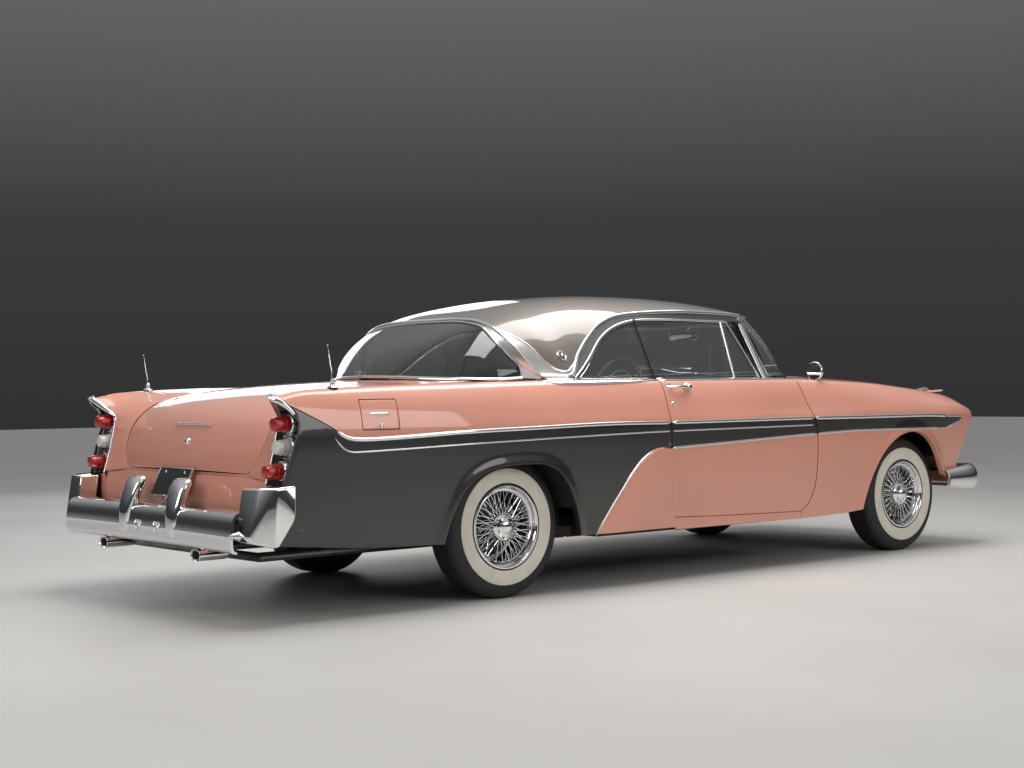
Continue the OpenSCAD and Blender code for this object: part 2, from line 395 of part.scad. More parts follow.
module fender_mirror() { color(chrome) { translate([2384, -838, 1060]) cylinder(r1 = 28, r2 = 14, h = 12); translate([2384, -838, 1058]) cylinder(r = 6, h = 50);
    translate([2374, -838, 1122]) rotate([0, 90, 0]) cylinder(r = 56, h = 26); } }
module fuel_door() { color(salmon) { x0 = -914; x1 = -718; z0 = 842; z1 = 973;
    G = [for (x = [x0, (x0 + x1) / 2, x1]) [for (z = [z0, 870, 900, 930, 950, z1]) [x, side_y(x, z), z]]];
    mirror([0, 1, 0]) slab(moved(G, [0, -6, 0]), G); } }

// ---- inside ----
module front_seat() { color(taupe) {
    // cushion, split backrest and the base
    plate_rounded([[1180, 500], [1660, 470], [1700, 560], [1680, 640], [1200, 620]], bench_w);
    plate_rounded([[1010, 560], [1160, 630], [1080, 1040], [1030, 1060], [960, 1040]], bench_w);
    both() box([1200, 200, 315], [1600, 480, 500]);
} }
module plate_rounded(P, w) { translate([0, w / 2, 0]) rotate([90, 0, 0]) linear_extrude(w) offset(r = 14, $fn = 16) offset(delta = -14) polygon(P); }
module rear_seat() { color(taupe) {
    plate_rounded([[500, 522], [570, 522], [600, 490], [900, 474], [940, 540], [920, 612], [500, 604]], 1180);
    plate_rounded([[340, 600], [480, 640], [400, 980], [340, 984], [290, 960]], 1180);
    both() box([562, 200, 315], [860, 560, 500]);
} }
module dashboard() { color(dark) difference() {
    translate([0, 660, 0]) rotate([90, 0, 0]) linear_extrude(1320) polygon([[2060, 1030], [2110, 1056], [2160, 1058], [2236, 1044], [2240, 1020], [2160, 990], [2110, 860], [2080, 860], [2050, 990]]);
    translate(steer_c) rotate([0, -68, 0]) translate([0, 0, -900]) cylinder(r = 30, h = 800);
} }
steer_c = [1940, 372, 1012];
module steering_wheel() { color([0.85, 0.84, 0.8]) translate(steer_c) rotate([0, -68, 0]) {
    rotate_extrude($fn = 72) translate([wheel_d / 2 - 11, 0]) circle(r = 11, $fn = 20);
    for (a = [0, 180]) rotate([0, 0, a + 90]) translate([44, -12, -34]) rotate([0, -9, 0]) cube([164, 24, 9]);
    translate([0, 0, -46]) cylinder(r = 46, h = 30);
} }
module steering_column() { color(dark) translate(steer_c) rotate([0, -68, 0]) { translate([0, 0, -632]) cylinder(r = 26, h = 576); } }

// ---- machinery ----
module chassis_frame() { color(dark) {
    both() plate_rail();
    // cross members, let in between the rails
    for (x = [560, 1700, 2440]) box([x, -394.6, 270], [x + 70, 394.6, 298]);
    for (x = [-1180, -568]) box([x, -394.6, 350], [x + 44, 394.6, 410]);
    box([3560, -394.6, rail_z + 130], [3640, 394.6, rail_z + 200]);
    // flat jacking plates
    both() for (x = [620, 2360]) translate([x, 395, rail_z - 6]) cube([120, 60, 6]);
} }
module plate_rail() {
    plate_xz([[-1300, 420], [-560, 420], [-360, 500], [340, 500], [540, 300], [2500, 300], [2700, 360], [3700, 420], [3700, 330], [2760, 280], [2520, rail_z], [520, rail_z], [300, 420], [-320, 420], [-520, 340], [-1300, 340]], 395, 455);
    // lashing ears with an upright hole, at both ends
    for (e = [[-1110, 352], [3640, 340]]) difference() {
        box([e[0] - 28, 450, e[1]], [e[0] + 28, 508, e[1] + 12]);
        translate([e[0], 480, e[1] - 10]) cylinder(r = 10, h = 32);
    }
}
module engine_block() { color([0.35, 0.36, 0.36]) box([2640, -300, 330], [3330, 300, 900]); }
module radiator() { color(dark) box([3610, -330, 470], [3670, 330, 900]); }
module fuel_tank() { color(dark) plate_rounded_x([[-1080, 300], [-600, 300], [-600, 460], [-1080, 460]]); }
module plate_rounded_x(P) { translate([0, 380, 0]) rotate([90, 0, 0]) linear_extrude(760) offset(r = 30, $fn = 20) offset(delta = -30) polygon(P); }
module exhaust() { color(chrome) both() {
    // pipe from the engine, silencer, tail pipe and flattened tip
    translate([-1060, 300, 240]) rotate([0, 90, 0]) cylinder(r = 23, h = 3640);
    translate([900, 300, 240]) rotate([0, 90, 0]) cylinder(r = 38, h = 560);
    hull() { translate([-1060, 300, 240]) rotate([0, 90, 0]) cylinder(r = 22, h = 6, $fn = 16); translate([-1330, 449, 292]) rotate([0, 90, 0]) cylinder(r = 20, h = 6, $fn = 16); }
    difference() { hull() for (s = [-1, 1]) translate([-1468, 449 + 17 * s, 292]) rotate([0, 90, 0]) cylinder(r = 21, h = 150, $fn = 32);
        hull() for (s = [-1, 1]) translate([-1478, 449 + 17 * s, 292]) rotate([0, 90, 0]) cylinder(r = 17, h = 130, $fn = 32); }
} }
module rear_axle() { color(dark) {
    translate([0, 0, tyre_r]) rotate([-90, 0, 0]) { translate([0, 0, -640]) cylinder(r = 38, h = 1280); translate([0, 0, -796]) cylinder(r = 20, h = 1592); }
    both() { cyl_at(0, 640, 150, 14); }
    translate([0, 0, tyre_r]) sphere(r = 130, $fn = 32);
    translate([100, 0, tyre_r]) rotate([0, 90.4, 0]) cylinder(r = 30, h = 2130);
    // leaf springs with their clamps
    both() plate_xz([[-640, 330], [-400, 296], [0, 284], [400, 268], [660, 262], [660, 276], [400, 284], [0, 310], [-400, 312], [-640, 344]], 480, 540);
    both() box([-60, 476, 280], [60, 544, 330]);
} }
module cyl_at(x, y, r, h) { translate([x, y, tyre_r]) rotate([-90, 0, 0]) cylinder(r = r, h = h); }
module front_suspension() { color(dark) {
    box([wheelbase - 70, -460, 232], [wheelbase + 70, 460, 296]);
    both() for (a = [[236, 30, 150], [500, 24, 90]]) difference() {
        union() { plate_xy([[wheelbase - a[2], 460], [wheelbase + a[2], 460], [wheelbase + a[1], kingpin_y - 10], [wheelbase - a[1], kingpin_y - 10]], a[0], a[0] + 22);
            translate([wheelbase, kingpin_y, a[0]]) cylinder(r = a[1], h = 22); }
        translate([wheelbase, kingpin_y, a[0] - 1]) cylinder(r = 13, h = 30);
    }
    both() box([wheelbase - 110, 457, 230], [wheelbase + 110, 471, 530]);
} }
module knuckle() { color([0.4, 0.4, 0.42]) {
    translate([wheelbase, kingpin_y, 226]) cylinder(r = 12, h = 306);
    translate([wheelbase, kingpin_y, 264]) cylinder(r = 20, h = 230);
    translate([wheelbase, kingpin_y, tyre_r]) rotate([-90, 0, 0]) { cylinder(r = 30, h = 44); cylinder(r = 20, h = 164); }
    translate([wheelbase, kingpin_y + 38, tyre_r]) rotate([-90, 0, 0]) cylinder(r = 145, h = 10);
} }
module steering_knuckle_left() { knuckle(); }
module steering_knuckle_right() { mirror([0, 1, 0]) knuckle(); }

// ---- every node, moved so that x = 0 is the middle of the car ----
module put() { translate([-axle_x, 0, 0]) children(); }
put() chassis_frame();
put() floor_pan();
put() firewall();
put() front_fender_left();
put() front_fender_right();
put() quarter_panel_left();
put() quarter_panel_right();
put() quarter_trims();
put() roof();
put() windshield_frame();
put() windshield();
put() rear_window();
put() quarter_glass();
put() rear_deck();
put() rear_valance();
put() rear_wheel_housings();
put() front_wheel_aprons();
put() grille();
put() front_bumper();
put() rear_bumper();
put() headlights();
put() tail_lights();
put() hood();
put() trunk_lid();
put() door_left();
put() door_right();
put() door_glass_left();
put() door_glass_right();
put() fuel_door();
put() front_seat();
put() rear_seat();
put() dashboard();
put() steering_column();
put() steering_wheel();
put() engine_block();
put() radiator();
put() fuel_tank();
put() exhaust();
put() rear_axle();
put() front_suspension();
put() steering_knuckle_left();
put() steering_knuckle_right();
put() wheel_front_left();
put() wheel_front_right();
put() wheel_rear_left();
put() wheel_rear_right();
put() tyre_front_left();
put() tyre_front_right();
put() tyre_rear_left();
put() tyre_rear_right();
put() antennas();
put() fender_mirror();
put() plate_holder();
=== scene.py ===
import math
import bmesh
import bpy
from mathutils import Matrix, Vector
from mathutils.geometry import delaunay_2d_cdt


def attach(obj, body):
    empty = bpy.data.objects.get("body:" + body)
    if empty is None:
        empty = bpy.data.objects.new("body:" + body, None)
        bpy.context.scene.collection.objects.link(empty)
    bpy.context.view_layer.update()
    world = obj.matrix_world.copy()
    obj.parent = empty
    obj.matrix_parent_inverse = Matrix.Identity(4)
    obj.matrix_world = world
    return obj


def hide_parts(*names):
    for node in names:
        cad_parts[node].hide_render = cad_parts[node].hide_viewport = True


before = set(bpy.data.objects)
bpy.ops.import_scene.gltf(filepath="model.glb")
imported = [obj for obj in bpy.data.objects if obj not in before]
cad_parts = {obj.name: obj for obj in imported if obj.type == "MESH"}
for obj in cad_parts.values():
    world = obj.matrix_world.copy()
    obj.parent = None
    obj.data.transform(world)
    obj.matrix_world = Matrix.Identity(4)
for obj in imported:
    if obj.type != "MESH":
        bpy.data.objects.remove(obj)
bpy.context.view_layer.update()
SCENE = bpy.context.scene
COLL = SCENE.collection
AXLE = 1325.0          # design x (mm) of the frame's origin

# ---------------------------------------------------------------- camera
def camera():
    data = bpy.data.cameras.new("photo_camera")
    data.lens, data.sensor_width = 55.157, 36.0
    data.clip_start, data.clip_end = 0.05, 200
    o = bpy.data.objects.new("photo_camera", data)
    COLL.objects.link(o)
    yaw, pitch, roll = (math.radians(a) for a in (49.408, 0.286, -0.6145))
    d = Vector((math.cos(yaw) * math.cos(pitch), math.sin(yaw) * math.cos(pitch), math.sin(pitch)))
    r = Vector((math.sin(yaw), -math.cos(yaw), 0))
    u = r.cross(d)
    r2 = r * math.cos(roll) + u * math.sin(roll)
    u2 = u * math.cos(roll) - r * math.sin(roll)
    m = Matrix(((r2.x, u2.x, -d.x), (r2.y, u2.y, -d.y), (r2.z, u2.z, -d.z))).to_4x4()
    m.translation = Vector((-6.2533, -6.6528, 1.0021))
    o.matrix_world = m
    SCENE.camera = o
camera()

# ---------------------------------------------------------------- tables of the body (mm, x from the rear axle)
SIDE = [
    [-1345, 893, 350, 903, 915, 922, 780, 908, 900, 862, 985], [-1180, 902, 338, 915, 932, 942, 800, 925, 925, 862, 1018],
    [-1000, 912, 322, 925, 944, 953, 805, 934, 930, 860, 1028], [-700, 922, 306, 934, 953, 962, 805, 942, 930, 857, 1039],
    [-350, 928, 298, 940, 958, 966, 812, 946, 925, 852, 1046], [100, 930, 290, 942, 960, 968, 820, 948, 912, 848, 1054],
    [600, 930, 280, 942, 960, 968, 824, 950, 900, 846, 1062], [1050, 928, 268, 942, 960, 967, 826, 950, 895, 846, 1062],
    [1650, 928, 266, 942, 960, 966, 832, 950, 885, 846, 1062], [2150, 928, 264, 942, 960, 966, 834, 948, 885, 846, 1060],
    [2500, 928, 270, 940, 958, 965, 834, 948, 885, 840, 1050], [2850, 924, 300, 936, 955, 962, 834, 945, 890, 830, 1036],
    [3270, 920, 380, 930, 950, 957, 832, 940, 885, 815, 1004], [3550, 910, 440, 912, 935, 945, 825, 925, 880, 800, 976],
    [3780, 890, 480, 888, 905, 918, 815, 900, 870, 785, 946], [3900, 868, 489, 866, 878, 896, 805, 880, 855, 772, 915],
    [3985, 840, 500, 842, 850, 868, 800, 850, 835, 760, 872]]
TOP = [
    [-1345, 700, 640, 560], [-1290, 690, 800, 700], [-1230, 680, 868, 850], [-1180, 668, 905, 917], [-1100, 652, 947, 974],
    [-950, 632, 993, 1024], [-740, 618, 1019, 1048], [-330, 606, 1044, 1070], [0, 640, 1056, 1075], [300, 735, 1060, 1080],
    [1050, 800, 1062, 1080], [2150, 800, 1062, 1090], [2300, 705, 1058, 1092], [2640, 696, 1050, 1088], [3000, 686, 1036, 1080],
    [3400, 668, 1010, 1063], [3700, 650, 980, 1036], [3850, 640, 952, 1006], [3930, 634, 930, 968], [3985, 630, 880, 905]]
REAR_EDGE = [[300, -1326], [420, -1330], [520, -1322], [665, -1292], [780, -1258], [872, -1232], [930, -1262], [990, -1336]]
NOSE_EDGE = [[300, 3690], [489, 3724], [600, 3764], [700, 3816], [755, 3858], [800, 3900], [850, 3930], [905, 3934], [950, 3912]]
DOOR_FRONT = [[300, 2118], [315, 2146], [340, 2182], [400, 2226], [484, 2249], [650, 2252], [780, 2240], [850, 2214], [944, 2182], [1067, 2164]]
DOOR_REAR = [[300, 1106], [330, 1092], [370, 1070], [450, 1056], [600, 1050], [800, 1045], [900, 1042], [1000, 1050], [1067, 1057]]
ARCH_REAR = [[-452, 296], [-436, 360], [-403, 446], [-348, 540], [-268, 606], [-152, 643], [0, 654], [120, 652], [222, 622], [300, 556], [352, 470], [392, 370], [410, 284]]
ARCH_FRONT = [[2700, 284], [2716, 340], [2770, 470], [2850, 590], [2950, 672], [3060, 722], [3160, 736], [3270, 722], [3370, 670], [3450, 590], [3516, 500], [3562, 452]]
ROOF = [
    [168, 1384, 305, 768, 1082, 5.0, 8.0], [330, 1440, 452, 818, 1078, 4.4, 5.0], [520, 1482, 584, 744, 1192, 4.0, 4.0],
    [700, 1510, 692, 699, 1277, 3.6, 3.0], [880, 1528, 816, 665, 1356, 3.2, 3.0], [1070, 1538, 968, 646, 1403, 3.0, 3.0],
    [1330, 1543, 1240, 640, 1428, 2.8, 3.0], [1640, 1536, 1520, 640, 1438, 2.8, 3.0], [1950, 1510, 1780, 640, 1436, 2.8, 3.2],
    [2160, 1480, 1890, 640, 1431, 2.8, 3.3], [2286, 1456, 1952, 638, 1425, 2.8, 3.3]]
SHIELD = [[0.0, 2296, 0, 1432, 2572, 0, 1102], [0.3, 2282, 200, 1428, 2552, 240, 1100], [0.6, 2222, 395, 1422, 2470, 470, 1096],
          [0.8, 2126, 530, 1420, 2330, 640, 1090], [0.9, 2052, 588, 1408, 2195, 730, 1086], [1.0, 1962, 628, 1398, 1992, 812, 1080]]
BACKLIGHT = [[0.0, 160, 0, 1372, -238, 0, 1086], [0.3, 158, 240, 1368, -205, 250, 1080], [0.6, 150, 455, 1344, -100, 480, 1070],
             [0.8, 150, 580, 1272, 20, 625, 1065], [0.9, 180, 640, 1206, 110, 680, 1064], [1.0, 236, 690, 1130, 228, 716, 1072]]
LID = [[0.00, -330, 1070], [0.20, -560, 1060], [0.38, -780, 1044], [0.54, -960, 1020], [0.66, -1080, 983], [0.75, -1160, 932],
       [0.82, -1213, 874], [0.89, -1250, 800], [0.95, -1276, 725], [1.00, -1292, 654]]
VALANCE = [[0.0, -1295, 633], [0.35, -1308, 580], [0.7, -1316, 515], [0.9, -1300, 462], [1.0, -1262, 440]]
LID_EDGE = [[0.0, 560], [0.03, 592], [0.1, 598], [0.4, 606], [0.6, 620], [0.75, 640], [0.85, 650], [0.93, 640], [0.97, 612], [1.0, 560]]
# lines of the side trims: height of each at x
EDGE1 = [[-1345, 1000], [-1290, 966], [-1200, 920], [-1100, 868], [-1048, 838], [-1005, 812], [-960, 801], [-900, 798], [-332, 817], [95, 826],
         [664, 836], [1065, 833], [2237, 835], [2649, 833], [3297, 832], [3776, 814], [3990, 806]]
EDGE2 = [[-1345, 998], [-1290, 964], [-1200, 918], [-1110, 860], [-1075, 826], [-1040, 782], [-1000, 752], [-960, 743], [-900, 744], [-193, 764],
         [1050, 788], [2219, 795], [2300, 796]]
EDGE3 = [[1049, 700], [1400, 713], [2235, 744], [2648, 754], [3200, 751], [3464, 750], [3560, 754], [3640, 766], [3710, 786], [3776, 813], [3990, 805]]
SWEEP = [[262, 512], [316, 549], [400, 612], [480, 675], [551, 733], [610, 786], [655, 840], [680, 888], [692, 930], [698, 985], [701, 1049]]

# ---------------------------------------------------------------- small maths
def val(T, x, c=1):
    n = len(T)
    i = 0
    while i < n - 2 and x >= T[i + 1][0]:
        i += 1
    def g(k):
        return (T[k + 1][c] - T[k][c]) / (T[k + 1][0] - T[k][0])
    def tang(k):
        if k <= 0:
            return g(0)
        if k >= n - 1:
            return g(n - 2)
        a, b = g(k - 1), g(k)
        return 0.0 if a * b <= 0 else 2 * a * b / (a + b)
    h = T[i + 1][0] - T[i][0]
    t = min(max((x - T[i][0]) / h, 0.0), 1.0)
    u = 1 - t
    return T[i][c] * u * u * (1 + 2 * t) + T[i + 1][c] * t * t * (3 - 2 * t) + h * tang(i) * t * u * u - h * tang(i + 1) * t * t * u

_rows = {}
def side_row(x):
    k = round(x, 2)
    if k not in _rows:
        r = [val(SIDE, x, c) for c in range(1, 11)]
        _rows[k] = [[r[1], r[0]], [max(420, r[1] + 20), r[2]], [620, r[3]], [r[5], r[4]], [r[7], r[6]], [r[9] - 16, r[8] + 34], [r[9], r[8]]]
    return _rows[k]

def arch_d(x, z, T):
    """Distance from a wheel opening's edge."""
    best = 1e9
    for k in range(len(T) - 1):
        ax, az, bx, bz = *T[k], *T[k + 1]
        dx, dz = bx - ax, bz - az
        t = min(max(((x - ax) * dx + (z - az) * dz) / (dx * dx + dz * dz), 0), 1)
        best = min(best, math.hypot(x - ax - t * dx, z - az - t * dz))
    return best

_fa = {}
def fine_arch(name, T):
    if name not in _fa:
        c, a = (T[0][0] + T[-1][0]) / 2, (T[-1][0] - T[0][0]) / 2
        _fa[name] = [[c + a * math.sin(math.radians(-90 + 6 * k)), val(T, c + a * math.sin(math.radians(-90 + 6 * k)))] for k in range(31)]
    return _fa[name]

def flare(x, z):
    """Rolled lip that stands proud round the wheel openings."""
    for name, T in (("r", ARCH_REAR), ("f", ARCH_FRONT)):
        if T[0][0] - 70 < x < T[-1][0] + 70 and z < 810:
            d = arch_d(x, z, fine_arch(name, T))
            if d < 58:
                s = 1 - d / 58
                return 11 * s * s * (3 - 2 * s)
    return 0.0

def side_y(x, z):
    return val(side_row(x), z, 1) + flare(x, z)
def crown_z(x): return val(SIDE, x, 10)
def crown_y(x): return val(SIDE, x, 9)
def top_z(x, y):
    ye, ze, zc, cy, cz = val(TOP, x, 1), val(TOP, x, 2), val(TOP, x, 3), crown_y(x), crown_z(x)
    return val([[0, zc], [ye * 0.5, zc - (zc - ze) * 0.22], [ye, ze], [(ye + cy) / 2, ze * 0.42 + cz * 0.58], [cy, cz]], y, 1)
def low_z(x):
    if ARCH_REAR[0][0] < x < ARCH_REAR[-1][0]:
        return val(ARCH_REAR, x)
    if ARCH_FRONT[0][0] < x < ARCH_FRONT[-1][0]:
        return val(ARCH_FRONT, x)
    return val(SIDE, x, 2)
def side_n(x, z):
    """Outward normal of the left side."""
    dz = (side_y(x, z + 3) - side_y(x, z - 3)) / 6
    dx = (side_y(x + 6, z) - side_y(x - 6, z)) / 12
    return Vector((-dx, 1, -dz)).normalized()
def lerp(a, b, t): return a + (b - a) * t
def mix3(p, q, t): return [p[k] + (q[k] - p[k]) * t for k in range(3)]
def smooth(t):
    t = min(max(t, 0.0), 1.0)
    return t * t * (3 - 2 * t)
def frange(a, b, n): return [a + (b - a) * k / (n - 1) for k in range(n)]

# ---------------------------------------------------------------- materials
def base_mat(name):
    m = bpy.data.materials.new(name)
    m.use_nodes = True
    nt = m.node_tree
    b = nt.nodes["Principled BSDF"]
    return m, nt, b
def noise(nt, scale, detail=2.0, rough=0.5, coord="Object", stretch=None, off=None):
    tc = nt.nodes.new("ShaderNodeTexCoord")
    n = nt.nodes.new("ShaderNodeTexNoise")
    n.inputs["Scale"].default_value = scale
    n.inputs["Detail"].default_value = detail
    n.inputs["Roughness"].default_value = rough
    if stretch:
        mp = nt.nodes.new("ShaderNodeMapping")
        mp.inputs["Scale"].default_value = stretch
        nt.links.new(tc.outputs[coord], mp.inputs["Vector"])
        nt.links.new(mp.outputs["Vector"], n.inputs["Vector"])
    else:
        nt.links.new(tc.outputs[coord], n.inputs["Vector"])
    return n
def ramp(nt, src, stops):
    r = nt.nodes.new("ShaderNodeValToRGB")
    e = r.color_ramp.elements
    e[0].position, e[0].color = stops[0][0], (*stops[0][1], 1)
    e[1].position, e[1].color = stops[-1][0], (*stops[-1][1], 1)
    for p, c in stops[1:-1]:
        k = e.new(p)
        k.color = (*c, 1)
    nt.links.new(src, r.inputs["Fac"])
    return r
def rough_from(nt, b, src, lo, hi):
    r = nt.nodes.new("ShaderNodeMapRange")
    r.inputs["To Min"].default_value, r.inputs["To Max"].default_value = lo, hi
    nt.links.new(src, r.inputs["Value"])
    nt.links.new(r.outputs["Result"], b.inputs["Roughness"])
def bump(nt, b, src, strength, dist=0.001, coat=False):
    k = nt.nodes.new("ShaderNodeBump")
    k.inputs["Strength"].default_value = strength
    k.inputs["Distance"].default_value = dist
    nt.links.new(src, k.inputs["Height"])
    nt.links.new(k.outputs["Normal"], b.inputs["Normal"])
    if coat:
        nt.links.new(k.outputs["Normal"], b.inputs["Coat Normal"])
    return k
def paint(name, col, metal=0.0, rough=0.32, flake=0.0, peel=0.05):
    """Enamel under a clear, polished coat, with faint orange peel and a slow drift of tone."""
    m, nt, b = base_mat(name)
    n = noise(nt, 1.7, 3)
    a = [c * 0.955 for c in col]
    z = [min(1, c * 1.035) for c in col]
    r = ramp(nt, n.outputs["Fac"], [(0.3, a), (0.7, z)])
    nt.links.new(r.outputs["Color"], b.inputs["Base Color"])
    b.inputs["Metallic"].default_value = metal
    b.inputs["Coat Weight"].default_value = 1.0
    b.inputs["Coat Roughness"].default_value = 0.035
    b.inputs["Coat IOR"].default_value = 1.5
    f = noise(nt, 900 if flake else 240, 1)
    rough_from(nt, b, f.outputs["Fac"], rough - 0.05 - flake, rough + 0.05 + flake)
    p = noise(nt, 160, 1.5)
    bump(nt, b, p.outputs["Fac"], peel, 0.0006)
    return m
def metal(name, col=(0.86, 0.87, 0.88), rough=(0.03, 0.09), pit=0.02, scale=60):
    m, nt, b = base_mat(name)
    n = noise(nt, scale, 3)
    r = ramp(nt, n.outputs["Fac"], [(0.25, [c * 0.95 for c in col]), (0.75, col)])
    nt.links.new(r.outputs["Color"], b.inputs["Base Color"])
    b.inputs["Metallic"].default_value = 1.0
    rough_from(nt, b, n.outputs["Fac"], *rough)
    bump(nt, b, n.outputs["Fac"], pit, 0.0005)
    return m
def matte(name, lo, hi, rough=(0.6, 0.9), scale=40, strength=0.2, dist=0.001, metallic=0.0, detail=5, stretch=None):
    m, nt, b = base_mat(name)
    n = noise(nt, scale, detail, 0.6, stretch=stretch)
    r = ramp(nt, n.outputs["Fac"], [(0.3, lo), (0.7, hi)])
    nt.links.new(r.outputs["Color"], b.inputs["Base Color"])
    rough_from(nt, b, n.outputs["Fac"], *rough)
    b.inputs["Metallic"].default_value = metallic
    bump(nt, b, n.outputs["Fac"], strength, dist)
    return m
def glass(name, tint, rough=0.0, ior=1.45):
    m, nt, b = base_mat(name)
    n = noise(nt, 2.0, 2)
    r = ramp(nt, n.outputs["Fac"], [(0.2, [c * 0.985 for c in tint]), (0.8, tint)])
    nt.links.new(r.outputs["Color"], b.inputs["Base Color"])
    b.inputs["Transmission Weight"].default_value = 1.0
    b.inputs["Roughness"].default_value = rough
    b.inputs["IOR"].default_value = ior
    return m
def lens(name, col, glow=0.0):
    """Moulded lamp lens: coloured, wet-looking, with fine ribs in its bump."""
    m, nt, b = base_mat(name)
    tc = nt.nodes.new("ShaderNodeTexCoord")
    w = nt.nodes.new("ShaderNodeTexWave")
    w.wave_type, w.bands_direction = "BANDS", "Z"
    w.inputs["Scale"].default_value = 90
    nt.links.new(tc.outputs["Object"], w.inputs["Vector"])
    r = ramp(nt, w.outputs["Fac"], [(0.0, [c * 0.8 for c in col]), (1.0, col)])
    nt.links.new(r.outputs["Color"], b.inputs["Base Color"])
    b.inputs["Roughness"].default_value = 0.12
    b.inputs["Coat Weight"].default_value = 1.0
    b.inputs["Subsurface Weight"].default_value = 0.25
    b.inputs["Subsurface Radius"].default_value = (0.02, 0.01, 0.01)
    if glow:
        nt.links.new(r.outputs["Color"], b.inputs["Emission Color"])
        b.inputs["Emission Strength"].default_value = glow
    bump(nt, b, w.outputs["Fac"], 0.25, 0.001)
    return m
def cloth(name, lo, hi, scale=700, sheen=0.4):
    """Woven bench cloth: two crossed sets of threads with a slow change of tone."""
    m, nt, b = base_mat(name)
    tc = nt.nodes.new("ShaderNodeTexCoord")
    ws = []
    for k, d in enumerate(("X", "Y")):
        w = nt.nodes.new("ShaderNodeTexWave")
        w.wave_type, w.bands_direction = "BANDS", d
        w.inputs["Scale"].default_value = scale / 6.0
        w.inputs["Distortion"].default_value = 1.2
        nt.links.new(tc.outputs["Object"], w.inputs["Vector"])
        ws.append(w)
    mx = nt.nodes.new("ShaderNodeMath")
    mx.operation = "MULTIPLY"
    nt.links.new(ws[0].outputs["Fac"], mx.inputs[0])
    nt.links.new(ws[1].outputs["Fac"], mx.inputs[1])
    n = noise(nt, 9, 3)
    ad = nt.nodes.new("ShaderNodeMath")
    ad.operation = "MULTIPLY_ADD"
    ad.inputs[1].default_value = 0.5
    nt.links.new(mx.outputs[0], ad.inputs[0])
    nt.links.new(n.outputs["Fac"], ad.inputs[2])
    r = ramp(nt, ad.outputs[0], [(0.3, lo), (0.95, hi)])
    nt.links.new(r.outputs["Color"], b.inputs["Base Color"])
    b.inputs["Roughness"].default_value = 0.75
    b.inputs["Sheen Weight"].default_value = sheen
    b.inputs["Sheen Roughness"].default_value = 0.4
    bump(nt, b, mx.outputs[0], 0.3, 0.0008)
    return m
def ribbed(name, col):
    """Black anodised band with fine lengthwise ribs; the grooves between them are painted darker as painted shade."""
    m, nt, b = base_mat(name)
    tc = nt.nodes.new("ShaderNodeTexCoord")
    w = nt.nodes.new("ShaderNodeTexWave")
    w.wave_type, w.bands_direction = "BANDS", "Z"
    w.inputs["Scale"].default_value = 40
    nt.links.new(tc.outputs["Object"], w.inputs["Vector"])
    # the colour follows the ribs: each groove is painted at half the tone, painted shade in the grooves
    r = ramp(nt, w.outputs["Fac"], [(0.0, [c * 0.5 for c in col]), (1.0, col)])
    nt.links.new(r.outputs["Color"], b.inputs["Base Color"])
    b.inputs["Metallic"].default_value = 0.5
    b.inputs["Roughness"].default_value = 0.28
    b.inputs["Coat Weight"].default_value = 0.8
    bump(nt, b, w.outputs["Fac"], 0.35, 0.001)
    return m
def honeycomb(name):
    """Fine chrome mesh; its cells are painted near-black, painted shade of the hollow behind it."""
    m, nt, b = base_mat(name)
    tc = nt.nodes.new("ShaderNodeTexCoord")
    v = nt.nodes.new("ShaderNodeTexVoronoi")
    v.feature = "DISTANCE_TO_EDGE"
    v.inputs["Scale"].default_value = 55
    v.inputs["Randomness"].default_value = 0.12
    nt.links.new(tc.outputs["Object"], v.inputs["Vector"])
    # bright wires, with near-black cells between them as painted shade
    r = ramp(nt, v.outputs["Distance"], [(0.12, (0.7, 0.7, 0.7)), (0.2, (0.01, 0.01, 0.01))])
    nt.links.new(r.outputs["Color"], b.inputs["Base Color"])
    b.inputs["Metallic"].default_value = 0.9
    b.inputs["Roughness"].default_value = 0.2
    bump(nt, b, r.outputs["Color"], 0.6, 0.004)
    return m

PINK = paint("paint_pink", (0.70, 0.300, 0.218), rough=0.36)
CHARCOAL = paint("paint_charcoal", (0.019, 0.016, 0.0135), metal=0.2, rough=0.34, flake=0.03)
TAUPE = paint("paint_taupe", (0.150, 0.124, 0.106), metal=0.45, rough=0.42, flake=0.06)
CHROME = metal("chrome_plate")
SATIN = metal("satin_bright_metal", (0.62, 0.62, 0.63), (0.2, 0.34), 0.08, 120)
BAND = ribbed("band_black", (0.035, 0.033, 0.036))
GLASS = glass("window_glass", (0.90, 0.945, 0.925))
RED = lens("lamp_red_lens", (0.42, 0.008, 0.01), 0.05)
WHITE = lens("lamp_clear_lens", (0.78, 0.78, 0.72), 0.02)
RUBBER = matte("tyre_black_rubber", (0.012, 0.012, 0.013), (0.028, 0.028, 0.029), (0.55, 0.8), 60, 0.25, 0.001)
WHITEWALL = matte("tyre_white_rubber", (0.66, 0.62, 0.53), (0.78, 0.74, 0.65), (0.5, 0.68), 12, 0.08, 0.001)
SEAL = matte("black_seal_rubber", (0.010, 0.010, 0.011), (0.022, 0.022, 0.023), (0.45, 0.7), 90, 0.15)
CHASSIS = matte("chassis_black_paint", (0.014, 0.014, 0.015), (0.035, 0.033, 0.03), (0.42, 0.7), 25, 0.3, 0.0012)
CAST = matte("cast_iron_grey", (0.16, 0.17, 0.17), (0.24, 0.245, 0.24), (0.5, 0.75), 45, 0.4, 0.0015, 0.4)
STEEL = matte("knuckle_bare_steel", (0.18, 0.18, 0.185), (0.3, 0.3, 0.31), (0.35, 0.6), 50, 0.25, 0.001, 0.8)
PIPE = matte("exhaust_weathered_steel", (0.2, 0.19, 0.18), (0.42, 0.41, 0.4), (0.25, 0.5), 22, 0.2, 0.0008, 0.9)
CLOTH = cloth("bench_woven_cloth", (0.10, 0.085, 0.075), (0.26, 0.23, 0.20))
VINYL_LIGHT = matte("vinyl_pale_grain", (0.52, 0.44, 0.39), (0.60, 0.51, 0.455), (0.38, 0.52), 420, 0.22, 0.0006)
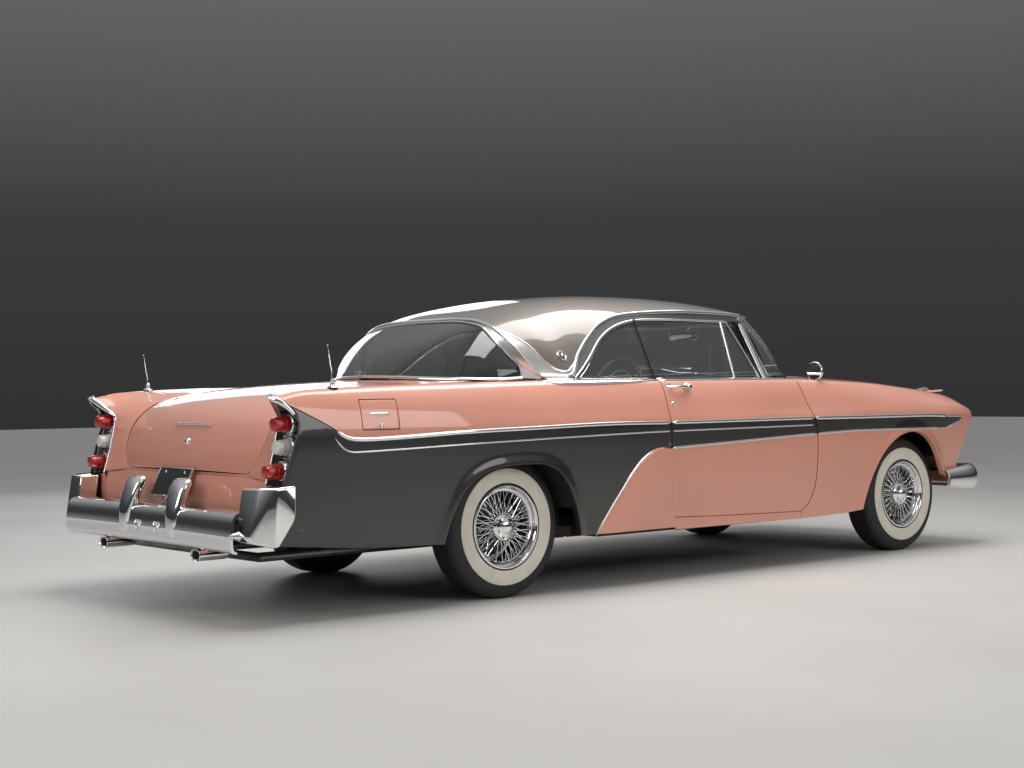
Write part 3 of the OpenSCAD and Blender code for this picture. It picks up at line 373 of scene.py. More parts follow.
VINYL_DARK = matte("vinyl_dark_grain", (0.035, 0.03, 0.028), (0.06, 0.052, 0.048), (0.35, 0.5), 420, 0.25, 0.0006)
CARPET = matte("carpet_loop_pile", (0.045, 0.038, 0.034), (0.10, 0.086, 0.078), (0.85, 1.0), 620, 0.9, 0.003)
HEADLINER = matte("headlining_cloth", (0.42, 0.37, 0.32), (0.5, 0.44, 0.39), (0.8, 0.95), 500, 0.3, 0.0008)
IVORY = matte("steering_ivory_plastic", (0.66, 0.62, 0.54), (0.72, 0.68, 0.60), (0.18, 0.3), 8, 0.03, 0.0005)
DASH = paint("dash_enamel", (0.045, 0.036, 0.032), metal=0.2, rough=0.4)
DARKIN = matte("underbody_sealer", (0.018, 0.017, 0.016), (0.04, 0.037, 0.034), (0.7, 0.95), 70, 0.5, 0.002)
HOLLOW = matte("shadow_black_inner", (0.004, 0.004, 0.004), (0.01, 0.01, 0.01), (0.8, 1.0), 30, 0.1)
MESH = honeycomb("grille_mesh")
PLATE = matte("plate_black_enamel", (0.008, 0.008, 0.009), (0.016, 0.016, 0.017), (0.5, 0.65), 30, 0.05)

# ---------------------------------------------------------------- mesh building
def place(p): return ((p[0] - AXLE) * 0.001, p[1] * 0.001, p[2] * 0.001)

def make(name, V, F, mats, body, slot=None, idx=None, mirror=False, out=None, solid=0, bevel=0, seg=2, lim=40,
         reps=(), weld=0, sub=0, sharp=38, flat=False):
    """One object from design-millimetre points. out is the side that its faces look to."""
    if not isinstance(mats, (list, tuple)):
        mats = [mats]
    me = bpy.data.meshes.new(name)
    W = [Vector(place(v)) for v in V]
    if mirror:
        W = [Vector((v.x, -v.y, v.z)) for v in W]
        if out is not None:
            out = (out[0], -out[1], out[2])
        F = [tuple(reversed(f)) for f in F]
    me.from_pydata(W, [], [tuple(f) for f in F])
    for m in mats:
        me.materials.append(m)
    if idx:
        me.polygons.foreach_set("material_index", idx)
    me.update()
    bm = bmesh.new()
    bm.from_mesh(me)
    if weld:
        bmesh.ops.remove_doubles(bm, verts=bm.verts, dist=weld * 0.001)
        bmesh.ops.dissolve_degenerate(bm, edges=bm.edges, dist=1e-6)
    if out is not None:
        s = sum((f.normal * f.calc_area() for f in bm.faces), Vector())
        if s.dot(Vector(out)) < 0:
            bmesh.ops.reverse_faces(bm, faces=bm.faces)
    elif out is None and not solid:
        bmesh.ops.recalc_face_normals(bm, faces=bm.faces)
    bm.to_mesh(me)
    bm.free()
    o = bpy.data.objects.new(name, me)
    COLL.objects.link(o)
    if sub:
        k = o.modifiers.new("sub", "SUBSURF")
        k.levels = k.render_levels = sub
    if solid:
        k = o.modifiers.new("solid", "SOLIDIFY")
        k.thickness, k.offset, k.use_quality_normals = solid * 0.001, -1, True
    if bevel:
        k = o.modifiers.new("bevel", "BEVEL")
        k.width, k.segments, k.limit_method, k.angle_limit = bevel * 0.001, seg, "ANGLE", math.radians(lim)
        k.use_clamp_overlap = True
    if solid or bevel or sub:
        dg = bpy.context.evaluated_depsgraph_get()
        new = bpy.data.meshes.new_from_object(o.evaluated_get(dg))
        o.modifiers.clear()
        o.data = new
        bpy.data.meshes.remove(me)
        me = new
    me.polygons.foreach_set("use_smooth", [not flat] * len(me.polygons))
    if not flat:
        me.set_sharp_from_angle(angle=math.radians(sharp))
    me.update()
    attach(o, body)
    if reps:
        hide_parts(*reps)
    return o

def faces(n, m, off=0, wi=False, wj=False):
    return [(off + i * m + j, off + i * m + (j + 1) % m, off + ((i + 1) % n) * m + (j + 1) % m, off + ((i + 1) % n) * m + j)
            for i in range(n if wi else n - 1) for j in range(m if wj else m - 1)]
def grid(name, G, mats, body, idx=None, **kw):
    n, m = len(G), len(G[0])
    return make(name, [p for r in G for p in r], faces(n, m), mats, body, idx=idx, **kw)

class Bag:
    """Several shapes gathered in one mesh."""
    def __init__(self): self.V, self.F, self.I = [], [], []
    def add(self, V, F, m=0):
        o = len(self.V)
        self.V += [tuple(v) for v in V]
        self.F += [tuple(o + k for k in f) for f in F]
        self.I += [m] * len(F)
        return self
    def grid(self, G, m=0, wi=False, wj=False, mats=None):
        n, k = len(G), len(G[0])
        self.add([p for r in G for p in r], faces(n, k, 0, wi, wj), m)
        if mats:
            c = len(faces(n, k, 0, wi, wj))
            self.I[-c:] = mats
        return self
    def tube(self, pts, r, n=10, m=0, cap=True):
        pts = [Vector(p) for p in pts]
        k = len(pts)
        rs = r if isinstance(r, (list, tuple)) else [r] * k
        up, G = None, []
        for i in range(k):
            t = (pts[min(i + 1, k - 1)] - pts[max(i - 1, 0)]).normalized()
            if up is None:
                up = t.orthogonal().normalized()
            up = (up - t * up.dot(t)).normalized()
            sd = t.cross(up)
            G.append([pts[i] + (up * math.cos(2 * math.pi * a / n) + sd * math.sin(2 * math.pi * a / n)) * rs[i] for a in range(n)])
        o = len(self.V)
        self.grid(G, m, wj=True)
        if cap:
            self.F += [tuple(o + a for a in reversed(range(n))), tuple(o + (k - 1) * n + a for a in range(n))]
            self.I += [m, m]
        return self
    def lathe(self, prof, c, axis="y", n=48, m=0, mats=None, closed=False):
        """prof is a list of (radius, along)."""
        o = len(self.V)
        G = []
        for a in range(n):
            t = 2 * math.pi * a / n
            row = []
            for r, h in prof:
                u, v = r * math.cos(t), r * math.sin(t)
                row.append({"y": (c[0] + u, c[1] + h, c[2] + v), "x": (c[0] + h, c[1] + u, c[2] + v), "z": (c[0] + u, c[1] + v, c[2] + h)}[axis])
            G.append(row)
        k = len(prof)
        F = faces(n, k, 0, wi=True, wj=closed)
        self.add([p for r in G for p in r], F, m)
        if mats:
            w = k if closed else k - 1
            self.I[-len(F):] = [mats[j % w] for i in range(n) for j in range(w)]
        return self
    def box(self, a, b, m=0):
        V = [(x, y, z) for x in (a[0], b[0]) for y in (a[1], b[1]) for z in (a[2], b[2])]
        return self.add(V, [(0, 1, 3, 2), (4, 6, 7, 5), (0, 4, 5, 1), (2, 3, 7, 6), (0, 2, 6, 4), (1, 5, 7, 3)], m)
    def ribbon(self, pts, nrm, w, h, m=0, n=7, taper=0, base=1.5, flatp=False):
        """Half-round moulding of width w and height h along pts, standing on normals nrm."""
        pts = [Vector(p) for p in pts]
        k = len(pts)
        L = [0.0]
        for i in range(1, k):
            L.append(L[-1] + (pts[i] - pts[i - 1]).length)
        ws = w if isinstance(w, (list, tuple)) else [w] * k
        G = []
        for i in range(k):
            t = (pts[min(i + 1, k - 1)] - pts[max(i - 1, 0)]).normalized()
            nn = Vector(nrm[i])
            nn = (nn - t * nn.dot(t)).normalized()
            sd = t.cross(nn)
            e = 1.0
            if taper:
                e = min(1.0, 0.12 + min(L[i], L[-1] - L[i]) / taper)
            row = []
            for a in range(n):
                q = math.pi * a / (n - 1)
                c, s = -math.cos(q), math.sin(q)
                if flatp:
                    s = s ** 0.45
                row.append(pts[i] + sd * (c * ws[i] * 0.5 * e) + nn * (s * h * e))
            row += [pts[i] + sd * (ws[i] * 0.5 * e) - nn * base, pts[i] - sd * (ws[i] * 0.5 * e) - nn * base]
            G.append(row)
        q = n + 2
        o = len(self.V)
        self.grid(G, m, wj=True)
        self.F += [tuple(o + a for a in reversed(range(q))), tuple(o + (k - 1) * q + a for a in range(q))]
        self.I += [m, m]
        return self
    def hull(self, pts, m=0):
        bm = bmesh.new()
        vs = [bm.verts.new(p) for p in pts]
        r = bmesh.ops.convex_hull(bm, input=vs)
        bmesh.ops.delete(bm, geom=[v for v in bm.verts if not v.link_faces], context="VERTS")
        bm.verts.index_update()
        self.add([tuple(v.co) for v in bm.verts], [[v.index for v in f.verts] for f in bm.faces], m)
        bm.free()
        return self
    def make(self, name, mats, body, **kw):
        return make(name, self.V, self.F, mats, body, idx=self.I, **kw)

def mirrored(bag):
    o = Bag()
    o.V = [(v[0], -v[1], v[2]) for v in bag.V]
    o.F = [tuple(reversed(f)) for f in bag.F]
    o.I = list(bag.I)
    return o
def merge(*bags):
    r = Bag()
    for b in bags:
        k = len(r.V)
        r.V += b.V
        r.F += [tuple(k + i for i in f) for f in b.F]
        r.I += b.I
    return r
def two(bag): return merge(bag, mirrored(bag))

def cdt(outline, holes, step, fn, inner=True):
    """Flat outline with holes, filled with fine triangles and lifted by fn(u, v)."""
    pts, edges = [], []
    def loop(L):
        o = len(pts)
        for k in range(len(L)):
            a, b = L[k], L[(k + 1) % len(L)]
            d = math.hypot(b[0] - a[0], b[1] - a[1])
            q = max(1, int(round(d / step)))
            for j in range(q):
                pts.append((a[0] + (b[0] - a[0]) * j / q, a[1] + (b[1] - a[1]) * j / q))
        edges.extend((o + j, o + (j + 1) % (len(pts) - o)) for j in range(len(pts) - o))
        return pts[o:]
    O = loop(outline)
    H = [loop(h) for h in holes]
    def inside(p, L):
        c, n = False, len(L)
        for i in range(n):
            a, b = L[i], L[(i + 1) % n]
            if (a[1] > p[1]) != (b[1] > p[1]) and p[0] < (b[0] - a[0]) * (p[1] - a[1]) / (b[1] - a[1]) + a[0]:
                c = not c
        return c
    us, vs = [p[0] for p in O], [p[1] for p in O]
    if inner:
        v, r = min(vs) + step * 0.6, 0
        while v < max(vs):
            u = min(us) + (step * 0.5 if r % 2 else 0)
            while u < max(us):
                p = (u, v)
                if inside(p, O) and not any(inside(p, h) for h in H):
                    if min(math.hypot(p[0] - q[0], p[1] - q[1]) for q in pts[:sum(map(len, [O] + H))]) > step * 0.45:
                        pts.append(p)
                u += step
            v += step * 0.87
            r += 1
    vo, _, fo, *_ = delaunay_2d_cdt([Vector(p) for p in pts], edges, [], 0, 1e-5)
    F = []
    for f in fo:
        c = sum((vo[k] for k in f), Vector((0, 0))) / len(f)
        if inside(c, O) and not any(inside(c, h) for h in H):
            F.append(tuple(f))
    used = sorted({k for f in F for k in f})
    m = {k: i for i, k in enumerate(used)}
    return [fn(vo[k][0], vo[k][1]) for k in used], [tuple(m[k] for k in f) for f in F]

# ---------------------------------------------------------------- outer panels
DG, LG = 8.0, 8.0          # gaps round doors and round lids
UP = [0, 0.05, 0.12, 0.2, 0.28, 0.36, 0.44, 0.52, 0.6, 0.68, 0.76, 0.83, 0.89, 0.94, 0.97, 1]
def quarter_in(x):
    if x < -318:
        return val(TOP, x, 1) + 8
    return val([[-318, 616], [0, 650], [300, 760], [460, 800], [1100, 800]], x)
def rows_to(zs, x):
    """Heights of one column through the given lines, each with its own share list."""
    out = []
    for k in range(len(zs) - 1):
        (za, sh), zb = zs[k], zs[k + 1][0]
        out += [za + (zb - za) * s for s in (sh if k == 0 else sh[1:])]
    return out

LOWF = [(z - 281) / 507 for z in (281, 300, 330, 362, 395, 430, 465, 500, 532, 562, 590, 616, 638, 655, 670, 681, 689, 695, 700, 712, 735, 762, 788)]
MIDF = [0, 0.33, 0.66, 1]
def quarter_x():
    xs = [-1326 + k * 25 for k in range(35)]
    xs = [x for x in xs if x < -462]
    xs += [-462, -455] + [-21 + 431 * math.sin(math.radians(-90 + 180 * k / 56)) for k in range(57)] + [416, 424]
    xs += [445 + k * (1041 - 445) / 26 for k in range(27)]
    return xs
def dr(z): return val(DOOR_REAR, z) - DG
def sweep_x(z): return min(val(SWEEP, z), dr(z)) if z < 700.5 else dr(z)
def rear_x(z): return val(REAR_EDGE, min(z, 990))

def quarter_side():
    xs = quarter_x()
    G, M = [], []
    for x0 in xs:
        col = []
        n1, n2, n3 = len(LOWF), len(MIDF), len(UP)
        for i in range(n1 + n2 + n3 - 2):
            x = x0
            for _ in range(4):
                lo, e2, e1, hi = low_z(min(max(x, -1345), 1041) if not -462 < x0 < -452 else x0), val(EDGE2, x), val(EDGE1, x), crown_z(x)
                if x0 <= -455:
                    lo = val(SIDE, x, 2)
                if x0 >= 416:
                    lo = val(SIDE, x, 2)
                if i < n1:
                    z = lo + (e2 - lo) * LOWF[i]
                elif i < n1 + n2 - 1:
                    z = e2 + (e1 - e2) * MIDF[i - n1 + 1]
                else:
                    z = e1 + (hi - e1) * UP[i - n1 - n2 + 2]
                # the columns lean to the rear edge, and to the sweep or the door's edge
                if x0 < -900:
                    w = smooth((-900 - x0) / 426)
                    x = x0 + (rear_x(z) + 1326) * w * 1.0
                    if x0 == xs[0]:
                        x = rear_x(z)
                    else:
                        x = rear_x(z) + (x0 + 1326) * (1 + (-900 - rear_x(z) - 426) / 426)
                elif x0 > 424:
                    x = 424 + (sweep_x(z) - 424) * (x0 - 424) / (1041 - 424)
            col.append([x, side_y(x, z), z])
        G.append(col)
    return xs, G

def quarter_panel(side):
    xs, G = quarter_side()
    bag = Bag()
    n1, n2 = len(LOWF), len(MIDF)
    m = len(G[0])
    mats = []
    for i in range(len(G) - 1):
        xm = (G[i][n1][0] + G[i + 1][n1][0]) / 2
        for j in range(m - 1):
            if j < n1 - 1:
                mats.append(1)
            elif j < n1 + n2 - 2:
                mats.append(2 if xm > -1060 else 1)
            else:
                mats.append(0)
    bag.grid(G, 0, mats=mats)
    # lower front corner, ahead of the sweep
    last = [p for p in G[-1][:n1] if p[2] < 699.5]
    H = []
    for p in last:
        xe = dr(p[2])
        H.append([[p[0] + (xe - p[0]) * u, 0, p[2]] for u in frange(0, 1, 14)])
    H = [[[x, side_y(x, z), z] for x, _, z in r] for r in H]
    bag.grid(H, 0)
    # over the crown, up to the rear window, the deck and the lid
    T = []
    topx = [p[-1][0] for p in G]
    for k, col in enumerate(G):
        x = col[-1][0]
        if x < -1000:
            continue
        yi, cy = quarter_in(x), crown_y(x)
        T.append([col[-1]] + [[x, lerp(cy, yi, s), top_z(x, lerp(cy, yi, s))] for s in (0.05, 0.12, 0.2, 0.3, 0.42, 0.55, 0.68, 0.8, 0.9, 1)])
    first = T[0]
    bag.grid(T, 0)
    # tail: from x = -1000 back to the fin's tip, and down the rear face to the valance
    mid = [[0, first[0][0], None], [0.18, -1100, None], [0.34, -1170, 966], [0.46, -1212, 934], [0.55, -1236, 898], [0.64, -1246, 852], [0.76, -1260, 785], [0.88, -1283, 690], [1.0, -1304, 622]]
    x0 = first[0][0]
    def midz(x): return val(TOP, x, 2) * 0.42 + crown_z(x) * 0.58
    mid[0][2], mid[1][2] = midz(x0), midz(-1100)
    def midy(t): return lerp((val(TOP, x0, 1) + 8 + crown_y(x0)) / 2, 774, smooth(t / 0.4))
    tl0 = 0.54
    for k in range(60):
        if lid_pt(tl0, 1)[0] < x0:
            break
        tl0 += 0.004
    def inner(t):
        tl = tl0 + (1 - tl0) * min(1, t / 0.985)
        p = lid_pt(tl, 1)
        q = lid_pt(max(tl - 0.01, 0), 1)
        dy = LG if tl < 0.93 else LG * (1 - 0.5 * (tl - 0.93) / 0.07)
        z = p[2] + 2
        if tl < 0.7:
            z = lerp(top_z(p[0], p[1] + dy), p[2] + 3, smooth((tl - tl0) / (0.7 - tl0)))
        return [p[0] - 1, p[1] + dy, z - (10 * smooth((t - 0.94) / 0.06))]
    tip_t = 0.55
    def crown(t):
        if t <= tip_t:
            s = t / tip_t
            x = lerp(x0, -1336, s)
            return [x, crown_y(x), crown_z(x) if x > -1180 else lerp(crown_z(-1180), 992, smooth((-1180 - x) / 156) * 0.6 + 0.4 * (-1180 - x) / 156)]
        s = smooth((t - tip_t) / 0.12)
        return mix3([-1336, 851, 992], [val(mid, t, 1), 864, val(mid, t, 2)], s)
    ts = [k / 44 for k in range(45)]
    vs = [0, 0.06, 0.14, 0.24, 0.36, 0.5, 0.62, 0.74, 0.86, 1.0]
    R = []
    for t in ts:
        a, b, c = inner(t), [val(mid, t, 1), midy(t), val(mid, t, 2)], crown(t)
        row = []
        for v in vs + [1 + w for w in vs[1:]]:
            row.append([val([[0, a[q]], [1, b[q]], [2, c[q]]], v) if (b[q] - a[q]) * (c[q] - b[q]) > 0 else
                        (lerp(a[q], b[q], v) if v < 1 else lerp(b[q], c[q], v - 1)) for q in range(3)])
        if t < 0.16:
            # ease into the shape ahead of it
            w = 1 - smooth(t / 0.16)
            row = [[p[0], p[1], lerp(p[2], top_z(p[0], min(p[1], crown_y(p[0]))), w)] for p in row]
        R.append(row)
    nv = len(vs)
    k = sum(1 for t in ts if t <= tip_t + 1e-6)
    bag.grid([r[:nv] for r in R], 0)
    bag.grid([r[nv - 1:] for r in R[:k]], 0)
    name = "quarter_skin_" + side
    o = bag.make(name, [PINK, CHARCOAL, BAND], "body", mirror=side == "right", out=(0, 1, 0.3), solid=9, bevel=1.6, weld=0.6, sharp=50,
                 slot="body_charcoal", reps=("quarter_panel_" + side,))
    return G, R, nv, k

def lid_pt(t, w):
    y, x, z, a = w * val(LID_EDGE, t), val(LID, t, 1), val(LID, t, 2), w * w
    return [x + 22 * a * t * t, y, z - 26 * a * (1 - 0.75 * t * t)]

for sd in ("left", "right"):
    QG, QR, QNV, QK = quarter_panel(sd)

def fender_in(x):
    return val([[2160, 800], [2240, 760], [2330, 716], [2440, 704], [2640, 704]], x) if x < 2640 else val(TOP, x, 1) + 7
def df(z): return val(DOOR_FRONT, z) + DG + max(0, 420 - z) * 0.03
FLOW = [0, 0.03, 0.08, 0.16, 0.26, 0.38, 0.5, 0.62, 0.74, 0.85, 0.94, 1]
def fender_panel(side):
    xs = [2258 + k * 24 for k in range(19)] + [2696] + [3131 + 431 * math.sin(math.radians(-90 + 180 * k / 56)) for k in range(57)] + [3566]
    xs += [3590 + k * 20 for k in range(20)]
    n1, n2, n3 = len(FLOW), 5, len(UP)
    G = []
    tops = [0.05, 0.12, 0.2, 0.3, 0.42, 0.55, 0.68, 0.8, 0.9, 1]
    for x0 in xs:
        col = []
        for i in range(n1 + n2 + n3 - 2):
            x = x0
            for _ in range(4):
                lo = val(SIDE, x, 2) if not 2699 < x0 < 3563 else low_z(x0)
                e3, e1, hi = val(EDGE3, x), val(EDGE1, x), crown_z(x)
                if i < n1:
                    z = lo + (e3 - lo) * FLOW[i]
                elif i < n1 + n2 - 1:
                    z = e3 + (e1 - e3) * (i - n1 + 1) / (n2 - 1)
                else:
                    z = e1 + (hi - e1) * UP[i - n1 - n2 + 2]
                if x0 < 2690:
                    x = df(z) + (x0 - 2258) * (2690 - df(z)) / 432
                elif x0 > 3570:
                    x = 3570 + (x0 - 3570) * (val(NOSE_EDGE, z) - 3570) / (xs[-1] - 3570)
            col.append([x, side_y(x, z), z])
        x = col[-1][0]
        yi, cy = fender_in(x), crown_y(x)
        col += [[x, lerp(cy, yi, s), top_z(x, lerp(cy, yi, s))] for s in tops]
        G.append(col)
    m = len(G[0])
    mats = [1 if n1 - 1 <= j < n1 + n2 - 2 and G[i][n1][0] < 3770 else 0 for i in range(len(G) - 1) for j in range(m - 1)]
    bag = Bag().grid(G, 0, mats=mats)
    bag.make("fender_skin_" + side, [PINK, CHARCOAL, BAND], "body", mirror=side == "right", out=(0, 1, 0.3), solid=9, bevel=1.6,
             weld=0.4, sharp=50, slot="body_pink", reps=("front_fender_" + side,))
    return G
for sd in ("left", "right"):
    FG = fender_panel(sd)

def door_panel(side):
    lowf = [0, 0.03, 0.08, 0.15, 0.24, 0.34, 0.44, 0.54, 0.64, 0.74, 0.84, 0.93, 1]
    n1, n2, n3 = len(lowf), 4, 4
    us = [0, 0.004, 0.012] + [0.012 + 0.976 * k / 40 for k in range(1, 40)] + [0.988, 0.996, 1]
    G, mats = [], []
    for u in us:
        col = []
        for i in range(n1 + n2 + n3 + len(UP) - 3):
            x = 1050 + 1200 * u
            for _ in range(4):
                lo = val([[1050, 336], [1600, 318], [2200, 306]], x)
                e3, e2, e1, hi = val(EDGE3, x), val(EDGE2, x), val(EDGE1, x), 1060
                if i < n1:
                    z = lo + (e3 - lo) * lowf[i]
                elif i < n1 + n2 - 1:
                    z = e3 + (e2 - e3) * (i - n1 + 1) / (n2 - 1)
                elif i < n1 + n2 + n3 - 2:
                    z = e2 + (e1 - e2) * (i - n1 - n2 + 2) / (n3 - 1)
                else:
                    z = e1 + (hi - e1) * UP[i - n1 - n2 - n3 + 3]
                x = lerp(val(DOOR_REAR, z), val(DOOR_FRONT, z), u)
            col.append([x, side_y(x, z), z])
        G.append(col)
    m = len(G[0])
    for i in range(len(G) - 1):
        for j in range(m - 1):
            mats.append(0 if j < n1 - 1 else 1 if j < n1 + n2 - 2 else 2 if j < n1 + n2 + n3 - 3 else 0)
    body = "door_" + side
    Bag().grid(G, 0, mats=mats).make("door_skin_" + side, [PINK, CHARCOAL, BAND], body, mirror=side == "right", out=(0, 1, 0), solid=9, bevel=1.6,
                                      sharp=50, slot="body_pink", reps=("door_" + side,))
    # inner shell: shut faces all round, inner trim in two tones with a bright line, arm rest and pulls
    ring = []
    zs = frange(0.0, 1.0, 22)
    def edge(u, inset):
        out = []
        for f in zs:
            z = 322 + (1058 - 322) * f
            if f == 0:
                z = val([[1050, 338], [1600, 320], [2200, 309]], lerp(1075, 2190, u)) + 3
            out.append([lerp(val(DOOR_REAR, z) + inset, val(DOOR_FRONT, z) - inset, u), z])
        return out
    a, b = edge(0, 2.5), edge(1, 2.5)
    loop = a + b[::-1]
    low = [[lerp(a[0][0], b[0][0], k / 10), val([[1050, 338], [1600, 320], [2200, 309]], lerp(1075, 2190, k / 10)) + 3] for k in range(9, 0, -1)]
    loop = a + b[::-1] + low
    outer = [[p[0], side_y(p[0], p[1]) - 8.5, p[1]] for p in loop]
    innr = [[lerp(p[0], 1640, 0.012), side_y(p[0], p[1]) - 101, p[1]] for p in loop]
    sh = Bag().grid([outer, innr], 0, wj=True)
    sh.make("door_shut_face_" + side, [PINK], body, mirror=side == "right", solid=3, bevel=0, slot="body_pink", sharp=60)
    def face(u, v): return [u, side_y(u, v) - 100 + (5 * math.exp(-((v - 640) / 120) ** 2)), v]
    hole = []
    V, F = cdt([(p[0], p[2]) for p in innr], hole, 26, lambda u, v: face(u, v))
    I = []
    for f in F:
        z = sum(V[k][2] for k in f) / 3
        I.append(0 if z > 760 else 1 if z > 470 else 2)
    make("door_inner_trim_" + side, V, F, [VINYL_LIGHT, CLOTH, CARPET], body, idx=I, mirror=side == "right", out=(0, -1, 0), solid=3, slot="trim_cloth")
    t = Bag()
    for z in (762, 470):
        pts = [[x, side_y(x, z) - 103, z] for x in frange(1090, 2170, 30)]
        t.ribbon(pts, [(0, -1, 0)] * 30, 14, 5, n=5, taper=20)
    # window crank, latch handle
    for x, z, L in ((1640, 700, 120), (1900, 740, 90)):
        y = side_y(x, z) - 101
        t.lathe([(0, -16), (22, -16), (24, -10), (24, 0)], (x, y, z), "y", 24)
        t.tube([(x, y - 14, z), (x - L * 0.5, y - 22, z - 8), (x - L, y - 22, z - 4)], [6, 7, 5], 8)
        t.lathe([(0, -40), (9, -40), (10, -30), (7, -20)], (x - L, y, z - 4), "y", 16)
    # belt cap over the inner sill of the window
    t.ribbon([[x, side_y(x, 1058) - 60, 1060] for x in frange(1062, 2160, 24)], [(0, 0, 1)] * 24, 84, 4, n=7, taper=8, flatp=True)
    t.make("door_inner_brightwork_" + side, [CHROME], body, mirror=side == "right", slot="chrome")
    ar = Bag()
    y0 = lambda x, z: side_y(x, z) - 101
    pts = frange(1180, 1560, 12)
    R = []
    for x in pts:
        e = math.sin(math.pi * (x - 1180 + 12) / 404) ** 0.4
        R.append([[x, y0(x, 640) + 2 - 0, 640 + 0 - 46 * e], [x, y0(x, 640) - 46 * e, 640 - 30 * e], [x, y0(x, 640) - 60 * e, 640 - 6 * e], [x, y0(x, 640) - 52 * e, 648], [x, y0(x, 640) + 2, 652]])
    ar.grid(R, 0)
    ar.make("door_arm_rest_" + side, [VINYL_DARK], body, mirror=side == "right", solid=2, sub=1, slot="trim_cloth")
for sd in ("left", "right"):
    door_panel(sd)

# hood, with a raised spine and turned-down edges
def hood_panel():
    G = []
    for k in range(56):
        x = 2648 + (3940 - 2648) * k / 55
        row = []
        for w in [-1, -0.985, -0.95] + frange(-0.9, 0.9, 31) + [0.95, 0.985, 1]:
            ye = val(TOP, x, 1)
            y = w * ye
            z = top_z(x, abs(y))
            z += 7 * math.exp(-(y / 46) ** 2) * smooth((x - 2700) / 250)
            xx = x - (46 * w * w * (x - 3700) / 240 if x > 3700 else 0)
            row.append([xx, y, z])
        G.append(row)
    grid("hood_skin", G, [PINK], "hood", out=(0, 0, 1), solid=8, bevel=1.6, reps=("hood",), slot="body_pink", sharp=50)
    b = Bag()
    # inner bracing, seen when it is raised
    for w in (-0.8, -0.4, 0, 0.4, 0.8):
        L = []
        for x in frange(2700, 3860, 24):
            y = w * val(TOP, x, 1)
            L.append([x, y, top_z(x, abs(y)) - 13])
        b.ribbon(L, [(0, 0, -1)] * 24, 70, 11, n=7, flatp=True, taper=30)
    for x in (2720, 3260, 3780):
        L = [[x, y, top_z(x, abs(y)) - 13] for y in frange(-600, 600, 24)]
        b.ribbon(L, [(0, 0, -1)] * 24, 70, 11, n=7, flatp=True, taper=30)
    b.make("hood_inner_bracing", [DARKIN], "hood", slot="chassis_black")
    c = Bag()
    L = [[x, 0, top_z(x, 0) + 6.5] for x in frange(2960, 3900, 40)]
    c.ribbon(L, [(0, 0, 1)] * 40, [lerp(9, 22, k / 39) for k in range(40)], 5, n=7, taper=60)
    # small winged ornament near the front of the spine
    c.hull([(3690, 0, top_z(3690, 0) + 8), (3905, 0, top_z(3900, 0) + 16), (3885, 0, top_z(3885, 0) + 38), (3780, 14, top_z(3780, 0) + 20), (3780, -14, top_z(3780, 0) + 20),
            (3880, 12, top_z(3880, 0) + 8), (3880, -12, top_z(3880, 0) + 8), (3740, 0, top_z(3740, 0) + 28)])
    c.make("hood_spine_moulding", [CHROME], "hood", bevel=3, seg=3, lim=20, slot="chrome")
hood_panel()

def lid_panel():
    G = []
    for k in range(61):
        t = k / 60
        row = []
        for w in [-1, -0.985, -0.96] + frange(-0.92, 0.92, 33) + [0.96, 0.985, 1]:
            row.append(lid_pt(t, w))
        G.append(row)
    grid("trunk_lid_skin", G, [PINK], "trunk_lid", out=(-0.5, 0, 1), solid=8, bevel=1.6, reps=("trunk_lid",), slot="body_pink", sharp=50)
    b = Bag()
    for w in (-0.75, 0, 0.75):
        L, N = [], []
        for t in frange(0.05, 0.95, 26):
            p, q = Vector(lid_pt(t, w)), Vector(lid_pt(t + 0.01, w))
            d = (q - p).normalized()
            n = Vector((-d.z, 0, d.x))
            if n.z > 0 or n.x < 0 and n.z > -0.2:
                n = -n if n.z > 0 else n
            n = Vector((0.4, 0, -1)).normalized() if t < 0.6 else Vector((1, 0, -0.3)).normalized()
            L.append(p + n * 13)
            N.append(n)
        b.ribbon(L, N, 90, 12, n=7, flatp=True, taper=30)
    for t in (0.08, 0.5, 0.93):
        n = Vector((0.2, 0, -1)).normalized() if t < 0.6 else Vector((1, 0, -0.3)).normalized()
        L = [Vector(lid_pt(t, w)) + n * 13 for w in frange(-0.9, 0.9, 24)]
        b.ribbon(L, [n] * 24, 80, 12, n=7, flatp=True, taper=30)
    b.make("trunk_lid_bracing", [DARKIN], "trunk_lid", slot="chassis_black")
    # round lock with a turned cover, and a plain raised bar in the emblem's place
    p = lid_pt(0.905, 0)
    c = Bag()
    n = Vector((-1, 0, 0.2)).normalized()
    c.lathe([(0, -16), (9, -15), (15, -11), (19, -5), (20, 4)], (p[0] + 3, 0, p[2]), "x", 32)
    L = [Vector(lid_pt(0.83, w)) + Vector((-3, 0, 1)) for w in frange(-0.27, 0.27, 25)]
    c.ribbon(L, [(-1, 0, 0.35)] * 25, 15, 8, n=9, taper=34)
    c.ribbon([q + Vector((-6, 0, 2)) for q in L], [(-1, 0, 0.35)] * 25, 4, 6, n=5, taper=30)
    c.make("trunk_lock_and_bar", [CHROME], "trunk_lid", slot="chrome")
lid_panel()

def valance_panel():
    G = []
    for v in frange(0, 1, 26):
        row = []
        for w in frange(-1, 1, 61):
            y = 772 * w
            a = abs(w)
            x = val(VALANCE, v, 1) + 12 * w * w - 6 * smooth((a - 0.82) / 0.18)
            z = val(VALANCE, v, 2)
            if a > 0.70:
                z += (-8) * smooth((a - 0.70) / 0.12) * (1 - v)
            row.append([x, y, z])
        G.append(row)
    grid("rear_valance_skin", G, [PINK], "body", out=(-1, 0, 0), solid=6, bevel=1.2, reps=("rear_valance",), slot="body_pink")
valance_panel()

